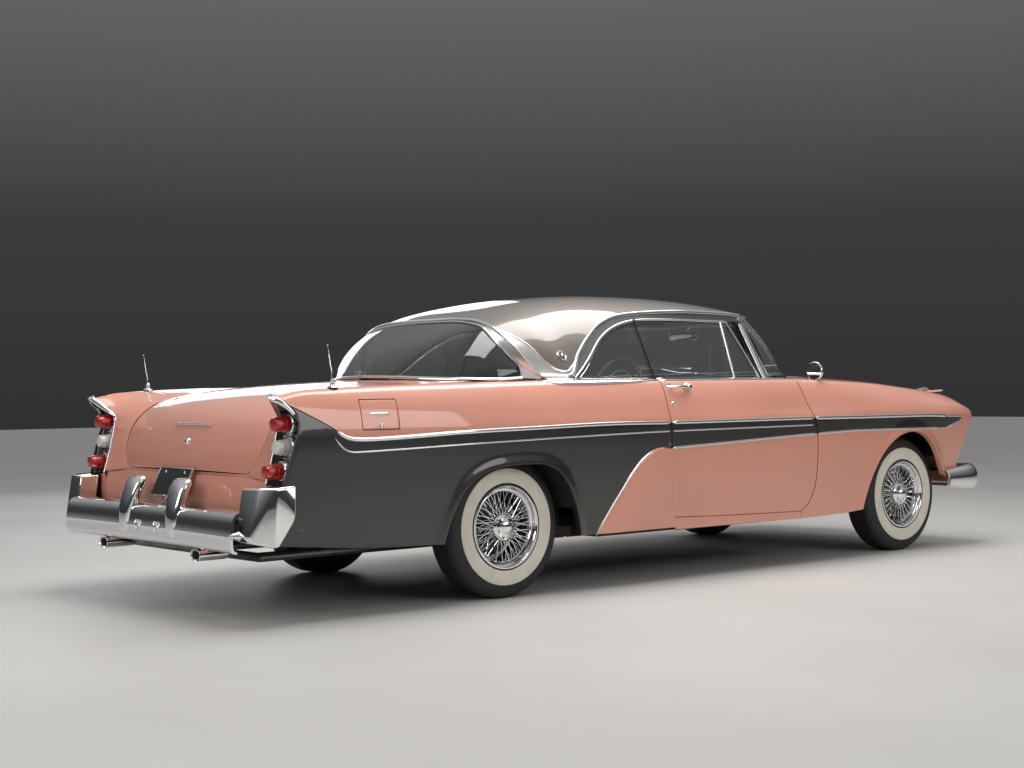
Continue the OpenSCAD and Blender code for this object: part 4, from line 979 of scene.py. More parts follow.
def rib_pt(r, w):
    a = abs(w)
    return [r[0] + (r[2] - r[0]) * a ** r[6], r[3] * w, r[4] + (r[1] - r[4]) * (1 - a ** r[5])]
RT = [[k] + ROOF[k] for k in range(len(ROOF))]
def roof_at(u, w):
    r = [val(RT, u, c) for c in range(1, 8)]
    return rib_pt(r, w)
def roof_panel():
    ws = [math.sin(math.pi / 2 * v) * 0.35 + v * 0.65 for v in frange(-1, 1, 81)]
    ws = [max(-1, min(1, w)) for w in ws]
    G = [[roof_at(u, w) for w in ws] for u in frange(0, 10, 81)]
    grid("roof_skin", G, [TAUPE], "body", out=(0, 0, 1), solid=7, bevel=1.5, reps=("roof",), slot="roof_paint", sharp=60)
    # headlining a little below, with cross bows
    H = []
    for u in frange(0.35, 9.75, 81):
        row = []
        for w in ws:
            w2 = w * 0.975
            p = roof_at(u, w2)
            bow = 2.5 * math.cos((u * 2.0 % 1) * 2 * math.pi)
            row.append([p[0], p[1], p[2] - 30 + bow * (1 - abs(w2) ** 3)])
        H.append(row)
    grid("roof_headlining", H, [HEADLINER], "body", out=(0, 0, -1), solid=2, slot="trim_cloth")
roof_panel()

def deck_panel():
    def front(y): return val([[0, -232], [250, -200], [480, -94], [604, 6], [640, 40]], y)
    G = []
    for w in frange(-1, 1, 61):
        y = 604 * w
        f = front(abs(y))
        G.append([[lerp(-322, f, u), y, top_z(lerp(-322, f, u), abs(y))] for u in frange(0, 1, 14)])
    grid("deck_skin", G, [PINK], "body", out=(0, 0, 1), solid=7, bevel=1.2, reps=("rear_deck",), slot="body_pink")
    V, F = cdt([(-205, -600), (20, -640), (330, -700), (330, 700), (20, 640), (-205, 600), (-300, 560), (-300, -560)], [], 40, lambda u, v: [u, v, 1006 + 1.5 * math.sin(v * 0.02)])
    make("parcel_shelf", V, F, [VINYL_DARK], "body", out=(0, 0, 1), solid=12, bevel=2, slot="trim_cloth")
deck_panel()

def cowl_panel():
    G = []
    for w in frange(-1, 1, 61):
        y = 690 * w
        b = val([[0, 2584], [240, 2564], [470, 2484], [640, 2346], [688, 2262]], abs(y))
        G.append([[lerp(b, 2640, u), y, top_z(lerp(b, 2640, u), abs(y))] for u in frange(0, 1, 14)])
    grid("cowl_skin", G, [PINK], "body", out=(0, 0, 1), solid=7, bevel=1.2, slot="body_pink")
    s = Bag()
    for k in range(26):
        y = -312 + k * 25
        s.box((2600, y - 7, top_z(2620, abs(y)) + 0.5), (2632, y + 7, top_z(2620, abs(y)) + 4))
    s.make("cowl_vent_bars", [CHROME], "body", bevel=1.5, slot="chrome")
cowl_panel()

# ---------------------------------------------------------------- glass
def edge_pt(T, v, top):
    a, k, s = abs(v), (1 if top else 4), (-1 if v < 0 else 1)
    return [val(T, a, k), s * val(T, a, k + 1), val(T, a, k + 2)]
def pane_pt(T, b, u, v, inset=0.0):
    P_, Q_ = edge_pt(T, v, False), edge_pt(T, v, True)
    R = mix3(P_, Q_, u)
    k = 4 * u * (1 - u)
    return [R[0] + b * k, R[1], R[2] + abs(b) * 0.5 * k]
def pane(name, T, b, node, out):
    G = [[pane_pt(T, b, u, v) for v in frange(-1, 1, 91)] for u in frange(0, 1, 31)]
    grid(name, G, [GLASS], "body", out=out, solid=5, reps=(node,), slot="clear_glass", sharp=60)
pane("windshield_pane", SHIELD, 26, "windshield", (1, 0, 0.5))
pane("rear_window_pane", BACKLIGHT, -34, "rear_window", (-1, 0, 0.5))
GY0, GY1, GZ0, GZ1 = 826.0, 668.0, 1066.0, 1386.0
def glass_y(z): return GY0 + (GY1 - GY0) * (z - GZ0) / (GZ1 - GZ0)
for n_ in ("door_glass_left", "door_glass_right", "quarter_glass"):
    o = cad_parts[n_]
    o.data.materials.clear()
    o.data.materials.append(GLASS)

# ---------------------------------------------------------------- bright trim along the sides
PALE = metal('pillar_pale_metal', (0.60, 0.585, 0.57), (0.26, 0.32), 0.0)
HOUSING = paint('housing_dark_enamel', (0.022, 0.020, 0.019), metal=0.3, rough=0.22)
DRUM = matte('brake_drum_dark_iron', (0.03, 0.03, 0.031), (0.06, 0.058, 0.056), (0.4, 0.65), 50, 0.3, 0.001, 0.6)
def on_side(x, z): return (x, side_y(x, z), z), side_n(x, z)
def side_strip(bag, pts, w, h, m=0, **kw):
    P_, N_ = zip(*[on_side(x, z) for x, z in pts])
    bag.ribbon(P_, N_, w, h, m, **kw)
def at_edge(T, a, b, step=22):
    n = max(3, int((b - a) / step))
    return [(x, val(T, x)) for x in frange(a, b, n)]
for sd in ("left", "right"):
    mir = sd == "right"
    q = Bag()
    side_strip(q, at_edge(EDGE1, -1052, 1034), 19, 6, 0, n=9, taper=26)
    side_strip(q, at_edge(EDGE2, -1062, 1034), 9, 4.5, 0, n=7, taper=14)
    side_strip(q, [(val(SWEEP, z), z) for z in [266, 300, 340, 380, 420, 460, 500, 540, 575, 605, 630, 650, 664, 675, 684, 690, 694.5, 698, 700.2, 700.9] if val(SWEEP, z) < dr(z) - 3], 13, 5, 0, n=7, taper=6)
    side_strip(q, at_edge(EDGE1, -1296, -1046, 14), 5, 2.4, 1, n=5)
    q.make("quarter_side_mouldings_" + sd, [CHROME, SEAL], "body", mirror=mir, slot="chrome")
    d = Bag()
    side_strip(d, at_edge(EDGE1, val(DOOR_REAR, 833) + 3, val(DOOR_FRONT, 834) - 3), 19, 6, 0, n=9, taper=5)
    side_strip(d, at_edge(EDGE2, val(DOOR_REAR, 788) + 3, 2216), 9, 4.5, 0, n=7, taper=8)
    side_strip(d, at_edge(EDGE3, val(DOOR_REAR, 700) + 3, val(DOOR_FRONT, 744) - 3), 13, 5, 0, n=7, taper=5)
    d.make("door_side_mouldings_" + sd, [CHROME], "door_" + sd, mirror=mir, slot="chrome")
    f = Bag()
    side_strip(f, at_edge(EDGE1, df(833) + 3, 3560), 22, 7, 0, n=9, taper=5)
    side_strip(f, at_edge(EDGE1, 3556, 3792, 14), [lerp(15, 5, k / 15) for k in range(16)], 4, 0, n=7, taper=12)
    side_strip(f, at_edge(EDGE3, df(744) + 3, 3470), 13, 5, 0, n=7, taper=5)
    side_strip(f, [(x, val(EDGE3, x)) for x in frange(3560, 3716, 16)], [7 + 9 * math.sin(math.pi * k / 15) for k in range(16)], 6, 0, n=9, taper=16)
    f.make("fender_side_mouldings_" + sd, [CHROME], "body", mirror=mir, slot="chrome")
    # lip inside the wheel openings
    for nm, T in (("rear", ARCH_REAR), ("front", ARCH_FRONT)):
        b = Bag()
        A = fine_arch("r" if nm == "rear" else "f", T)
        G = []
        for x, z in A:
            y = side_y(x, z + 1)
            G.append([[x, y - 1, z], [x, y - 10, z - 1], [x, y - 34, z + 1]])
        b.grid(G, 0)
        b.make("wheel_opening_flange_%s_%s" % (nm, sd), [CHARCOAL if nm == "rear" else PINK], "body", mirror=mir, solid=2, slot="body_charcoal" if nm == "rear" else "body_pink")
    # dark walls inside the quarter, so that no light comes through
    b = Bag()
    x0, x1 = (-1180, -440)
    b.grid([[[x, side_y(x, z) - 26, z] for z in frange(330, 980, 14)] for x in frange(-1200, -452, 30)])
    b.make("quarter_inner_wall_" + sd, [HOLLOW], "body", mirror=mir, solid=2, slot="chassis_black")

    # fin cap, outer rim and lamp housing
    cap = Bag()
    brow = [Vector(p) for p in QR[QK - 1][QNV - 1:]]
    tip = Vector((-1343, 851, 993))
    edge = [Vector((rear_x(z) - 2, side_y(max(rear_x(z), -1345), z) + 1, z)) for z in [985, 972, 958, 944, 930, 915, 900, 885, 870, 850, 820, 780, 740, 700, 665, 640, 618, 606]]
    P1 = brow + [tip]
    n1 = [Vector((-0.75, -0.25, 0.6))] * len(P1)
    cap.ribbon([p + Vector((-2, 0, 2)) for p in P1], n1, [lerp(14, 32, k / (len(P1) - 1)) for k in range(len(P1))], 6, 0, n=9)
    P2 = [tip] + edge
    N2 = [Vector((-0.5, 0.75, 0.3))] + [Vector((-0.62, 0.78, 0.0))] * len(edge)
    W2 = [20] + [lerp(26, 10, min(1, k / 7)) for k in range(len(edge))]
    cap.ribbon(P2[:7], N2[:7], W2[:7], 6, 0, n=9)
    cap.ribbon(P2[5:], N2[5:], W2[5:], 5, 1, n=9)
    cap.hull([tip + Vector(v) for v in ((-8, 1, 2), (14, 12, 6), (14, -14, 6), (22, 0, 12), (20, 10, -12), (16, -10, -10))])
    cap.make("fin_cap_" + sd, [CHROME, CHARCOAL], "body", mirror=mir, slot="chrome")
    hs = Bag()
    MID = [(-1236, 898), (-1246, 852), (-1260, 785), (-1283, 690), (-1304, 622), (-1309, 600)]
    def mid_x(z):
        T = [[600, -1309], [622, -1304], [690, -1283], [785, -1260], [852, -1246], [898, -1236]]
        return val(T, z)
    G = []
    for z in frange(602, 984, 54):
        xo, yo = rear_x(z) + 4, side_y(max(rear_x(z), -1345), z) - 6
        if z <= 898:
            xi, yi = mid_x(z) + 3, 776
        else:
            best = min(brow, key=lambda p: abs(p.z - z))
            xi, yi = best.x + 4, best.y + 2
        dep = 34 * smooth((984 - z) / 70) 
        row = []
        for v in (0, 0.03, 0.08, 0.16, 0.35, 0.6, 0.84, 0.92, 0.97, 1):
            e = smooth(min(v, 1 - v) / 0.14)
            row.append([lerp(xi, xo, v) + dep * e, lerp(yi, yo, v), z])
        G.append(row)
    hs.grid(G, 0)
    hs.make("lamp_housing_" + sd, [HOUSING], "body", mirror=mir, out=(-1, 0, 0), solid=3, slot="body_charcoal")
    rim = Bag()
    L = [Vector((mid_x(z) - 1, 776, z)) for z in frange(602, 898, 24)]
    rim.ribbon(L, [(-0.9, -0.4, 0)] * 24, 9, 4, 0, n=7)
    for x, z, e in ((-1222, 872, 1.0), (-1222, 771, 0.92), (-1262, 668, 1.0)):
        rim.lathe([(30, 24), (40, 18), (46, 8), (47, -4), (44, -12), (38, -15), (35, -10)], (x, 842, z), "x", 40)
        rim.lathe([(34, 60), (36, 20), (32, 18)], (x, 842, z), "x", 32)
    # webs between the lamps
    for z in (822, 720):
        rim.hull([(-1215, 806, z - 9), (-1215, 878, z - 9), (-1215, 806, z + 9), (-1215, 878, z + 9), (-1244, 816, z - 5), (-1244, 868, z - 5), (-1244, 816, z + 5), (-1244, 868, z + 5)])
    rim.make("lamp_bezels_" + sd, [CHROME], "body", mirror=mir, bevel=1.2, seg=2, slot="chrome", sharp=32)
    for nm, x, z, L_, mt in (("upper", -1228, 872, 88, RED), ("middle", -1228, 771, 78, WHITE), ("lower", -1268, 668, 90, RED)):
        g = Bag()
        pr = [(35, 4), (36.5, -4), (36, -L_ * 0.35), (34.5, -L_ * 0.36), (34, -L_ * 0.62), (32.5, -L_ * 0.63), (31, -L_ * 0.85), (27, -L_ * 0.95), (17, -L_ * 0.99), (0.01, -L_)]
        g.lathe(pr, (x, 842, z), "x", 48)
        g.make("lamp_lens_%s_%s" % (nm, sd), [mt], "body", mirror=mir, slot="lamp_red", sharp=30, reps=("tail_lights",) if nm == "upper" else ())

# ---------------------------------------------------------------- round the windows
def drip_path():
    L = [roof_at(0, w) for w in frange(0.0, 1, 40)]
    L += [roof_at(u, 1) for u in frange(0.12, 10, 90)]
    return [Vector(p) for p in L]
def glass_trim(sd):
    mir = sd == "right"
    b = Bag()
    full = drip_path()
    N = []
    for k, p in enumerate(full):
        if k < 40:
            w = k / 39
            N.append(Vector((-0.8, 0.75 * w ** 3, 0.6)))
        else:
            N.append(Vector((-0.4 * (1 - min(1, (k - 40) / 14)), 0.9, 0.25)))
    out = [p + n.normalized() * 1.5 for p, n in zip(full, N)]
    W = [20 if k < 40 else 22 for k in range(len(full))]
    b.ribbon(out[:33], N[:33], W[:33], 5, 0, n=7)
    b.ribbon(out[30:40], N[30:40], [9] * 10, 6, 0, n=7)
    b.ribbon(out[39:], N[39:], W[39:], 7, 0, n=9)
    # inner frame of the side windows
    IN = [[482, 1066], [560, 1118], [640, 1180], [753, 1272], [850, 1325], [930, 1353], [1040, 1376], [1142, 1385], [1400, 1389], [1790, 1387]]
    def inz(x): return val(IN, x)
    L = [Vector((x, glass_y(inz(x)) + 6, inz(x))) for x in frange(486, 1046, 34)]
    b.ribbon(L, [(0, 0.9, 0.4)] * 34, 15, 5, 0, n=7)
    b.ribbon([p + Vector((10, 1, -16)) for p in L], [(0, 0.9, 0.4)] * 34, 5, 3, 0, n=5)
    b.make("drip_rail_and_window_trim_" + sd, [CHROME], "body", mirror=mir, slot="chrome")
    d = Bag()
    L = [Vector((x, glass_y(inz(x)) + 6, inz(x))) for x in frange(1064, 1790, 34)]
    top = L + [Vector((1800, glass_y(1380) + 6, 1380))]
    d.ribbon(top, [(0, 0.9, 0.4)] * len(top), 13, 5, 0, n=7)
    fr = [Vector((lerp(1796, 1900, s), glass_y(lerp(1384, 1068, s)) + 6, lerp(1384, 1068, s))) for s in frange(0, 1, 16)]
    d.ribbon(fr, [(0.2, 0.9, 0.3)] * 16, 13, 6, 0, n=7)
    dv = [Vector((lerp(1752, 1690, s), glass_y(lerp(1384, 1068, s)) + 5, lerp(1384, 1068, s))) for s in frange(0, 1, 16)]
    d.ribbon(dv, [(0, 0.9, 0.4)] * 16, 17, 7, 0, n=7)
    d.make("door_window_frame_" + sd, [CHROME], "door_" + sd, mirror=mir, slot="chrome")
    sq = Bag()
    rr = [Vector((1047, glass_y(z) + 5, z)) for z in frange(1068, 1378, 16)]
    sq.ribbon(rr, [(0, 0.9, 0.4)] * 16, 8, 3, 0, n=7)
    sq.make("quarter_window_seal_" + sd, [SEAL], "body", mirror=mir, slot="chrome")
    # black filler between roof edge and window frame
    f = Bag()
    G = []
    for s in frange(0, 1, 60):
        x = lerp(462, 1935, s)
        e = min(([roof_at(u, 1) for u in frange(0.9, 10, 180)]), key=lambda p: abs(p[0] - x))
        z = min(inz(min(max(x, 482), 1790)) if x < 1800 else lerp(1386, 1380, (x - 1800) / 140), e[2] - 6)
        y = glass_y(z) + 3
        G.append([[x, e[1] - 1, e[2] - 2], [x, (e[1] + y) / 2 - 3, (e[2] + z) / 2], [x, y, z + 3]])
    f.grid(G)
    f.make("window_head_seal_" + sd, [SEAL], "body", mirror=mir, solid=3, slot="chassis_black")
    # sail panel between rear glass and roof edge
    A = [edge_pt(BACKLIGHT, v, True) for v in frange(0.35, 1, 24)] + [mix3(edge_pt(BACKLIGHT, 1, True), edge_pt(BACKLIGHT, 1, False), s) for s in frange(0.1, 1, 10)]
    B = [roof_at(0, w) for w in frange(0.32, 1, 24)] + [mix3(roof_at(0, 1), [300, 772, 1066], s) for s in frange(0.1, 1, 10)]
    G = [[mix3(a, c, t) for t in (0, 0.33, 0.66, 1)] for a, c in zip(A, B)]
    grid("rear_pillar_plate_" + sd, [[[p[0] + 2, p[1], p[2] - 1] for p in r] for r in G], [PALE], "body", mirror=mir, out=(-0.5, 1, 0.4), solid=3, slot="chrome")
    r = Bag()
    Lb = [Vector(edge_pt(BACKLIGHT, v, False)) for v in frange(0, 1, 50)]
    r.ribbon([p + Vector((-3, 1, 3)) for p in Lb], [(-0.7, 0.4 * k / 49, 0.9) for k in range(50)], [lerp(17, 26, k / 49) for k in range(50)], 6, 0, n=7)
    Lt = [Vector(edge_pt(BACKLIGHT, v, True)) for v in frange(0, 1, 50)] + [Vector(mix3(edge_pt(BACKLIGHT, 1, True), edge_pt(BACKLIGHT, 1, False), s)) for s in frange(0.15, 1, 8)]
    r.ribbon([p + Vector((-3, 1, 3)) for p in Lt], [(-0.8, 0.9 * min(1, k / 49) ** 2, 0.6) for k in range(58)], 13, 5, 0, n=7)
    r.make("rear_window_surround_" + sd, [CHROME], "body", mirror=mir, slot="chrome")
    # belt moulding
    bt = Bag()
    def belt(a, c, n):
        P_, N_, W_ = [], [], []
        for x in frange(a, c, n):
            zc = val([[236, 1052], [364, 1046], [738, 1049], [1056, 1055], [1703, 1057], [2126, 1060]], x)
            w = val([[236, 22], [364, 34], [738, 30], [1056, 23], [1703, 20], [2060, 16], [2126, 8]], x)
            p = Vector((x, side_y(x, zc), zc))
            P_.append(p)
            N_.append(side_n(x, zc - 4) + Vector((0, 0, 0.5)))
            W_.append(w)
        return P_, N_, W_
    Pq, Nq, Wq = belt(238, 1040, 48)
    bt.ribbon(Pq, Nq, Wq, 6, 0, n=9, taper=10)
    # top ledge of the belt below the quarter window
    bt.ribbon([Vector((x, val([[300, 790], [480, 824], [1100, 834]], x), 1064)) for x in frange(300, 1048, 30)], [(0, 0.2, 1)] * 30, 26, 5, 0, n=7, flatp=True, taper=10)
    bt.make("belt_moulding_quarter_" + sd, [CHROME], "body", mirror=mir, slot="chrome")
    bd = Bag()
    Pd, Nd, Wd = belt(1060, 2120, 52)
    bd.ribbon(Pd, Nd, Wd, 6, 0, n=9, taper=8)
    bd.ribbon([Vector((x, 834, 1064)) for x in frange(1064, 1905, 40)], [(0, 0.2, 1)] * 40, 22, 5, 0, n=7, flatp=True, taper=8)
    bd.make("belt_moulding_door_" + sd, [CHROME], "door_" + sd, mirror=mir, slot="chrome")
    # door handle, push button and lock
    h = Bag()
    z = 1019
    def hy(x, e): return side_y(x, z) + e
    h.tube([(1082, hy(1082, 4), z), (1092, hy(1092, 22), z), (1120, hy(1120, 30), z), (1160, hy(1160, 30), z), (1196, hy(1196, 26), z), (1212, hy(1212, 12), z), (1218, hy(1218, 2), z)],
           [8, 9, 8.5, 9.5, 11, 12, 10], 14)
    h.lathe([(0.01, 34), (12, 33), (15, 28), (15, 12), (20, 8), (22, 0)], (1228, side_y(1228, z) - 2, z), "y", 28)
    h.lathe([(0.01, 9), (14, 8), (20, 3), (21, -2)], (1086, side_y(1086, z), z), "y", 28)
    h.lathe([(0.01, 5), (5, 5), (6, 4), (10, 5), (12, 2), (12, -2)], (1082, side_y(1082, 930), 930), "y", 24)
    h.make("door_handle_" + sd, [CHROME], "door_" + sd, mirror=mir, slot="chrome")
    # round medallion, blank
    best = min(((Vector(roof_at(u, w)) - Vector((457, 760, 1186))).length, u, w) for u in frange(0.5, 3, 60) for w in frange(0.8, 1, 60))
    u, w = best[1], best[2]
    p = Vector(roof_at(u, w))
    n = (Vector(roof_at(u + 0.05, w)) - Vector(roof_at(u - 0.05, w))).cross(Vector(roof_at(u, min(w + 0.01, 1))) - Vector(roof_at(u, w - 0.01))).normalized()
    if n.y < 0:
        n = -n
    t1 = n.orthogonal().normalized()
    t2 = n.cross(t1)
    md = Bag()
    def disc(prof, m):
        G = []
        for a in range(40):
            c, s = math.cos(2 * math.pi * a / 40), math.sin(2 * math.pi * a / 40)
            G.append([p + (t1 * c + t2 * s) * r_ + n * h_ for r_, h_ in prof])
        md.grid(G, m, wi=True)
    disc([(31, -2), (31, 4), (28, 7), (23, 7), (20, 4)], 0)
    disc([(20.5, 4), (12, 4.5), (9, 6), (0.01, 9)], 1)
    disc([(10, 5.5), (9, 9), (5, 11), (0.01, 11.5)], 0)
    md.make("pillar_medallion_" + sd, [CHROME, SEAL], "body", mirror=mir, slot="chrome", sharp=30)
    # windshield post
    ap = Bag()
    L = [Vector((lerp(1958, 1935, s), lerp(828, 646, s), lerp(1062, 1408, s))) for s in frange(0, 1, 20)]
    ap.ribbon(L, [(0.12, 0.88, 0.45)] * 20, 54, 11, 0, n=11)
    ap.ribbon([q_ + Vector((-3, 9.6, 5)) for q_ in L], [(0.12, 0.88, 0.45)] * 20, 6, 3, 1, n=5)
    ap.make("windshield_post_" + sd, [CHROME, SEAL], "body", mirror=mir, slot="chrome")
    ws = Bag()
    Lb = [Vector(edge_pt(SHIELD, v, False)) for v in frange(0, 1, 50)]
    ws.ribbon([q_ + Vector((4, 1, 2)) for q_ in Lb], [(0.7, 0.5 * k / 49, 0.8) for k in range(50)], 20, 6, 0, n=7)
    Lt = [Vector(edge_pt(SHIELD, v, True)) for v in frange(0, 1, 50)]
    ws.ribbon([q_ + Vector((5, 1, 4)) for q_ in Lt], [(0.8, 0.6 * (k / 49) ** 2, 0.6) for k in range(50)], 22, 6, 0, n=7)
    se = [Vector(mix3(edge_pt(SHIELD, 1, False), edge_pt(SHIELD, 1, True), s)) for s in frange(0, 1, 16)]
    ws.ribbon([q_ + Vector((2, 3, 0)) for q_ in se], [(0.5, 0.9, 0.3)] * 16, 20, 5, 0, n=7)
    ws.make("windshield_surround_" + sd, [CHROME], "body", mirror=mir, slot="chrome")
for sd in ("left", "right"):
    glass_trim(sd)

# ---------------------------------------------------------------- rear bumper
def blade(name, x0, sgn, ys, bow, sec, node, extra=None):
    G = []
    for y in ys:
        x = x0 - sgn * bow * (y / max(ys)) ** 2
        G.append([[x - sgn * a, y, z] for a, z in sec])
    b = Bag().grid(G, 0, wj=True)
    k = len(sec)
    n = len(G)
    b.F += [tuple(range(k)), tuple((n - 1) * k + j for j in reversed(range(k)))]
    b.I += [0, 0]
    return b
def superloft(bag, rows, n=28, e=2.6, m=0):
    """rows: (x centre, y centre, z, half x, half y)"""
    G = []
    for x, y, z, hx, hy in rows:
        r = []
        for a in range(n):
            t = 2 * math.pi * a / n
            c, s = math.cos(t), math.sin(t)
            r.append([x + hx * math.copysign(abs(c) ** (2 / e), c), y + hy * math.copysign(abs(s) ** (2 / e), s), z])
        G.append(r)
    o = len(bag.V)
    bag.grid(G, m, wj=True)
    bag.F += [tuple(o + a for a in range(n)), tuple(o + (len(G) - 1) * n + a for a in reversed(range(n)))]
    bag.I += [m, m]
SEC = [(-34, 320), (-12, 323), (-3, 334), (-1, 352), (0, 378), (1.5, 392), (4, 397), (1, 403), (-4, 412), (-7, 432), (-10, 456), (-17, 476), (-30, 490), (-50, 497), (-74, 500), (-100, 500),
       (-112, 495), (-100, 490), (-74, 490), (-52, 486), (-36, 478), (-27, 464), (-20, 436), (-16, 405), (-14, 372), (-16, 345), (-22, 333), (-36, 328)]
rb = blade("blade", -1476, 1, frange(-800, 800, 65), 26, SEC, "rear_bumper")
rb.make("rear_bumper_blade", [CHROME], "body", slot="chrome", reps=("rear_bumper",), sharp=45)
for sd in ("left", "right"):
    mir = sd == "right"
    g = Bag()
    superloft(g, [(-1446, 232, 344, 20, 36), (-1450, 232, 352, 28, 44), (-1454, 231, 380, 33, 50), (-1454, 229, 430, 34, 53), (-1450, 227, 480, 34, 56), (-1440, 224, 520, 34, 60),
                  (-1428, 221, 560, 34, 64), (-1416, 219, 588, 34, 66), (-1408, 218, 604, 31, 64), (-1403, 218, 614, 26, 58), (-1400, 217, 621, 19, 48), (-1399, 217, 625, 9, 30)], 36, 2.7)
    g.make("rear_bumper_guard_" + sd, [CHROME], "body", mirror=mir, bevel=2.5, seg=3, lim=35, slot="chrome", sharp=50)
    p = Bag()
    p.hull([(-1456, 778, 372), (-1452, 896, 368), (-1430, 778, 600), (-1424, 902, 604), (-1362, 938, 346), (-1352, 940, 600), (-1262, 946, 470), (-1258, 944, 612), (-1340, 938, 352),
            (-1362, 790, 366), (-1330, 790, 604), (-1262, 900, 610), (-1340, 900, 350), (-1466, 790, 396), (-1462, 890, 396)])
    p.make("rear_bumper_pod_" + sd, [CHROME], "body", mirror=mir, bevel=15, seg=6, lim=16, slot="chrome", sharp=28)
    u_ = Bag()
    u_.lathe([(0.01, -52), (5, -46), (12, -32), (19, -14), (23, 0), (24, 10)], (-1458, 800, 398), "x", 32)
    u_.make("rear_bumper_bullet_" + sd, [CHROME], "body", mirror=mir, slot="chrome")
s = Bag()
for y in (-600, -90, 90, 600):
    x = -1480 + 26 * (y / 800) ** 2
    superloft(s, [(x, y, 424, 5, 3), (x - 2, y, 418, 9, 6), (x - 2, y, 396, 10, 8), (x - 1, y, 376, 8, 7), (x, y, 366, 4, 3)], 16, 2)
for y in (-430, 430):
    x = -1480 + 26 * (y / 800) ** 2
    s.lathe([(0.01, -9), (7, -8), (12, -4), (13, 2)], (x + 3, y, 352), "x", 20)
s.make("rear_bumper_studs", [CHROME], "body", slot="chrome")
# plate with a raised border on its bracket
pl = Bag()
c_, s_ = math.cos(math.radians(25)), math.sin(math.radians(25))
def tilt(x, y, z): return (-1342 + x * c_ + z * s_, y, 594 - x * s_ + z * c_)
def obox(b, a, c, m=0):
    V = [tilt(x, y, z) for x in (a[0], c[0]) for y in (a[1], c[1]) for z in (a[2], c[2])]
    b.add(V, [(0, 1, 3, 2), (4, 6, 7, 5), (0, 4, 5, 1), (2, 3, 7, 6), (0, 2, 6, 4), (1, 5, 7, 3)], m)
obox(pl, (-2, -152, -68), (2, 152, 68))
pl.make("plate_blank", [PLATE], "body", bevel=1, slot="chassis_black", reps=("plate_holder",))
pf = Bag()
for a, c in (((-6, -157, -73), (3, -149, 73)), ((-6, 149, -73), (3, 157, 73)), ((-6, -149, -73), (3, 149, -66)), ((-6, -149, 66), (3, 149, 73))):
    obox(pf, a, c)
obox(pf, (4, -40, -90), (26, 40, 40))
for y in (-89, 89):
    pf.lathe([(0.01, -5), (6, -4), (8, -1)], tilt(-3, y, 52), "x", 16)
pf.make("plate_frame_and_bracket", [CHROME], "body", bevel=1.2, slot="chrome")
# bright sleeves on the tail pipes
for sd in ("left", "right"):
    G = []
    for x, r in ((-1330, 23), (-1334, 25), (-1460, 25), (-1472, 26), (-1475, 24), (-1470, 20), (-1400, 19.5)):
        row = []
        for a in range(36):
            t = 2 * math.pi * a / 36
            row.append([x, 449 + r * math.cos(t) + (17 if math.cos(t) >= 0 else -17), 292 + r * math.sin(t)])
        G.append(row)
    Bag().grid(G, 0, wj=True).make("exhaust_tip_" + sd, [CHROME], "body", mirror=sd == "right", slot="chrome")

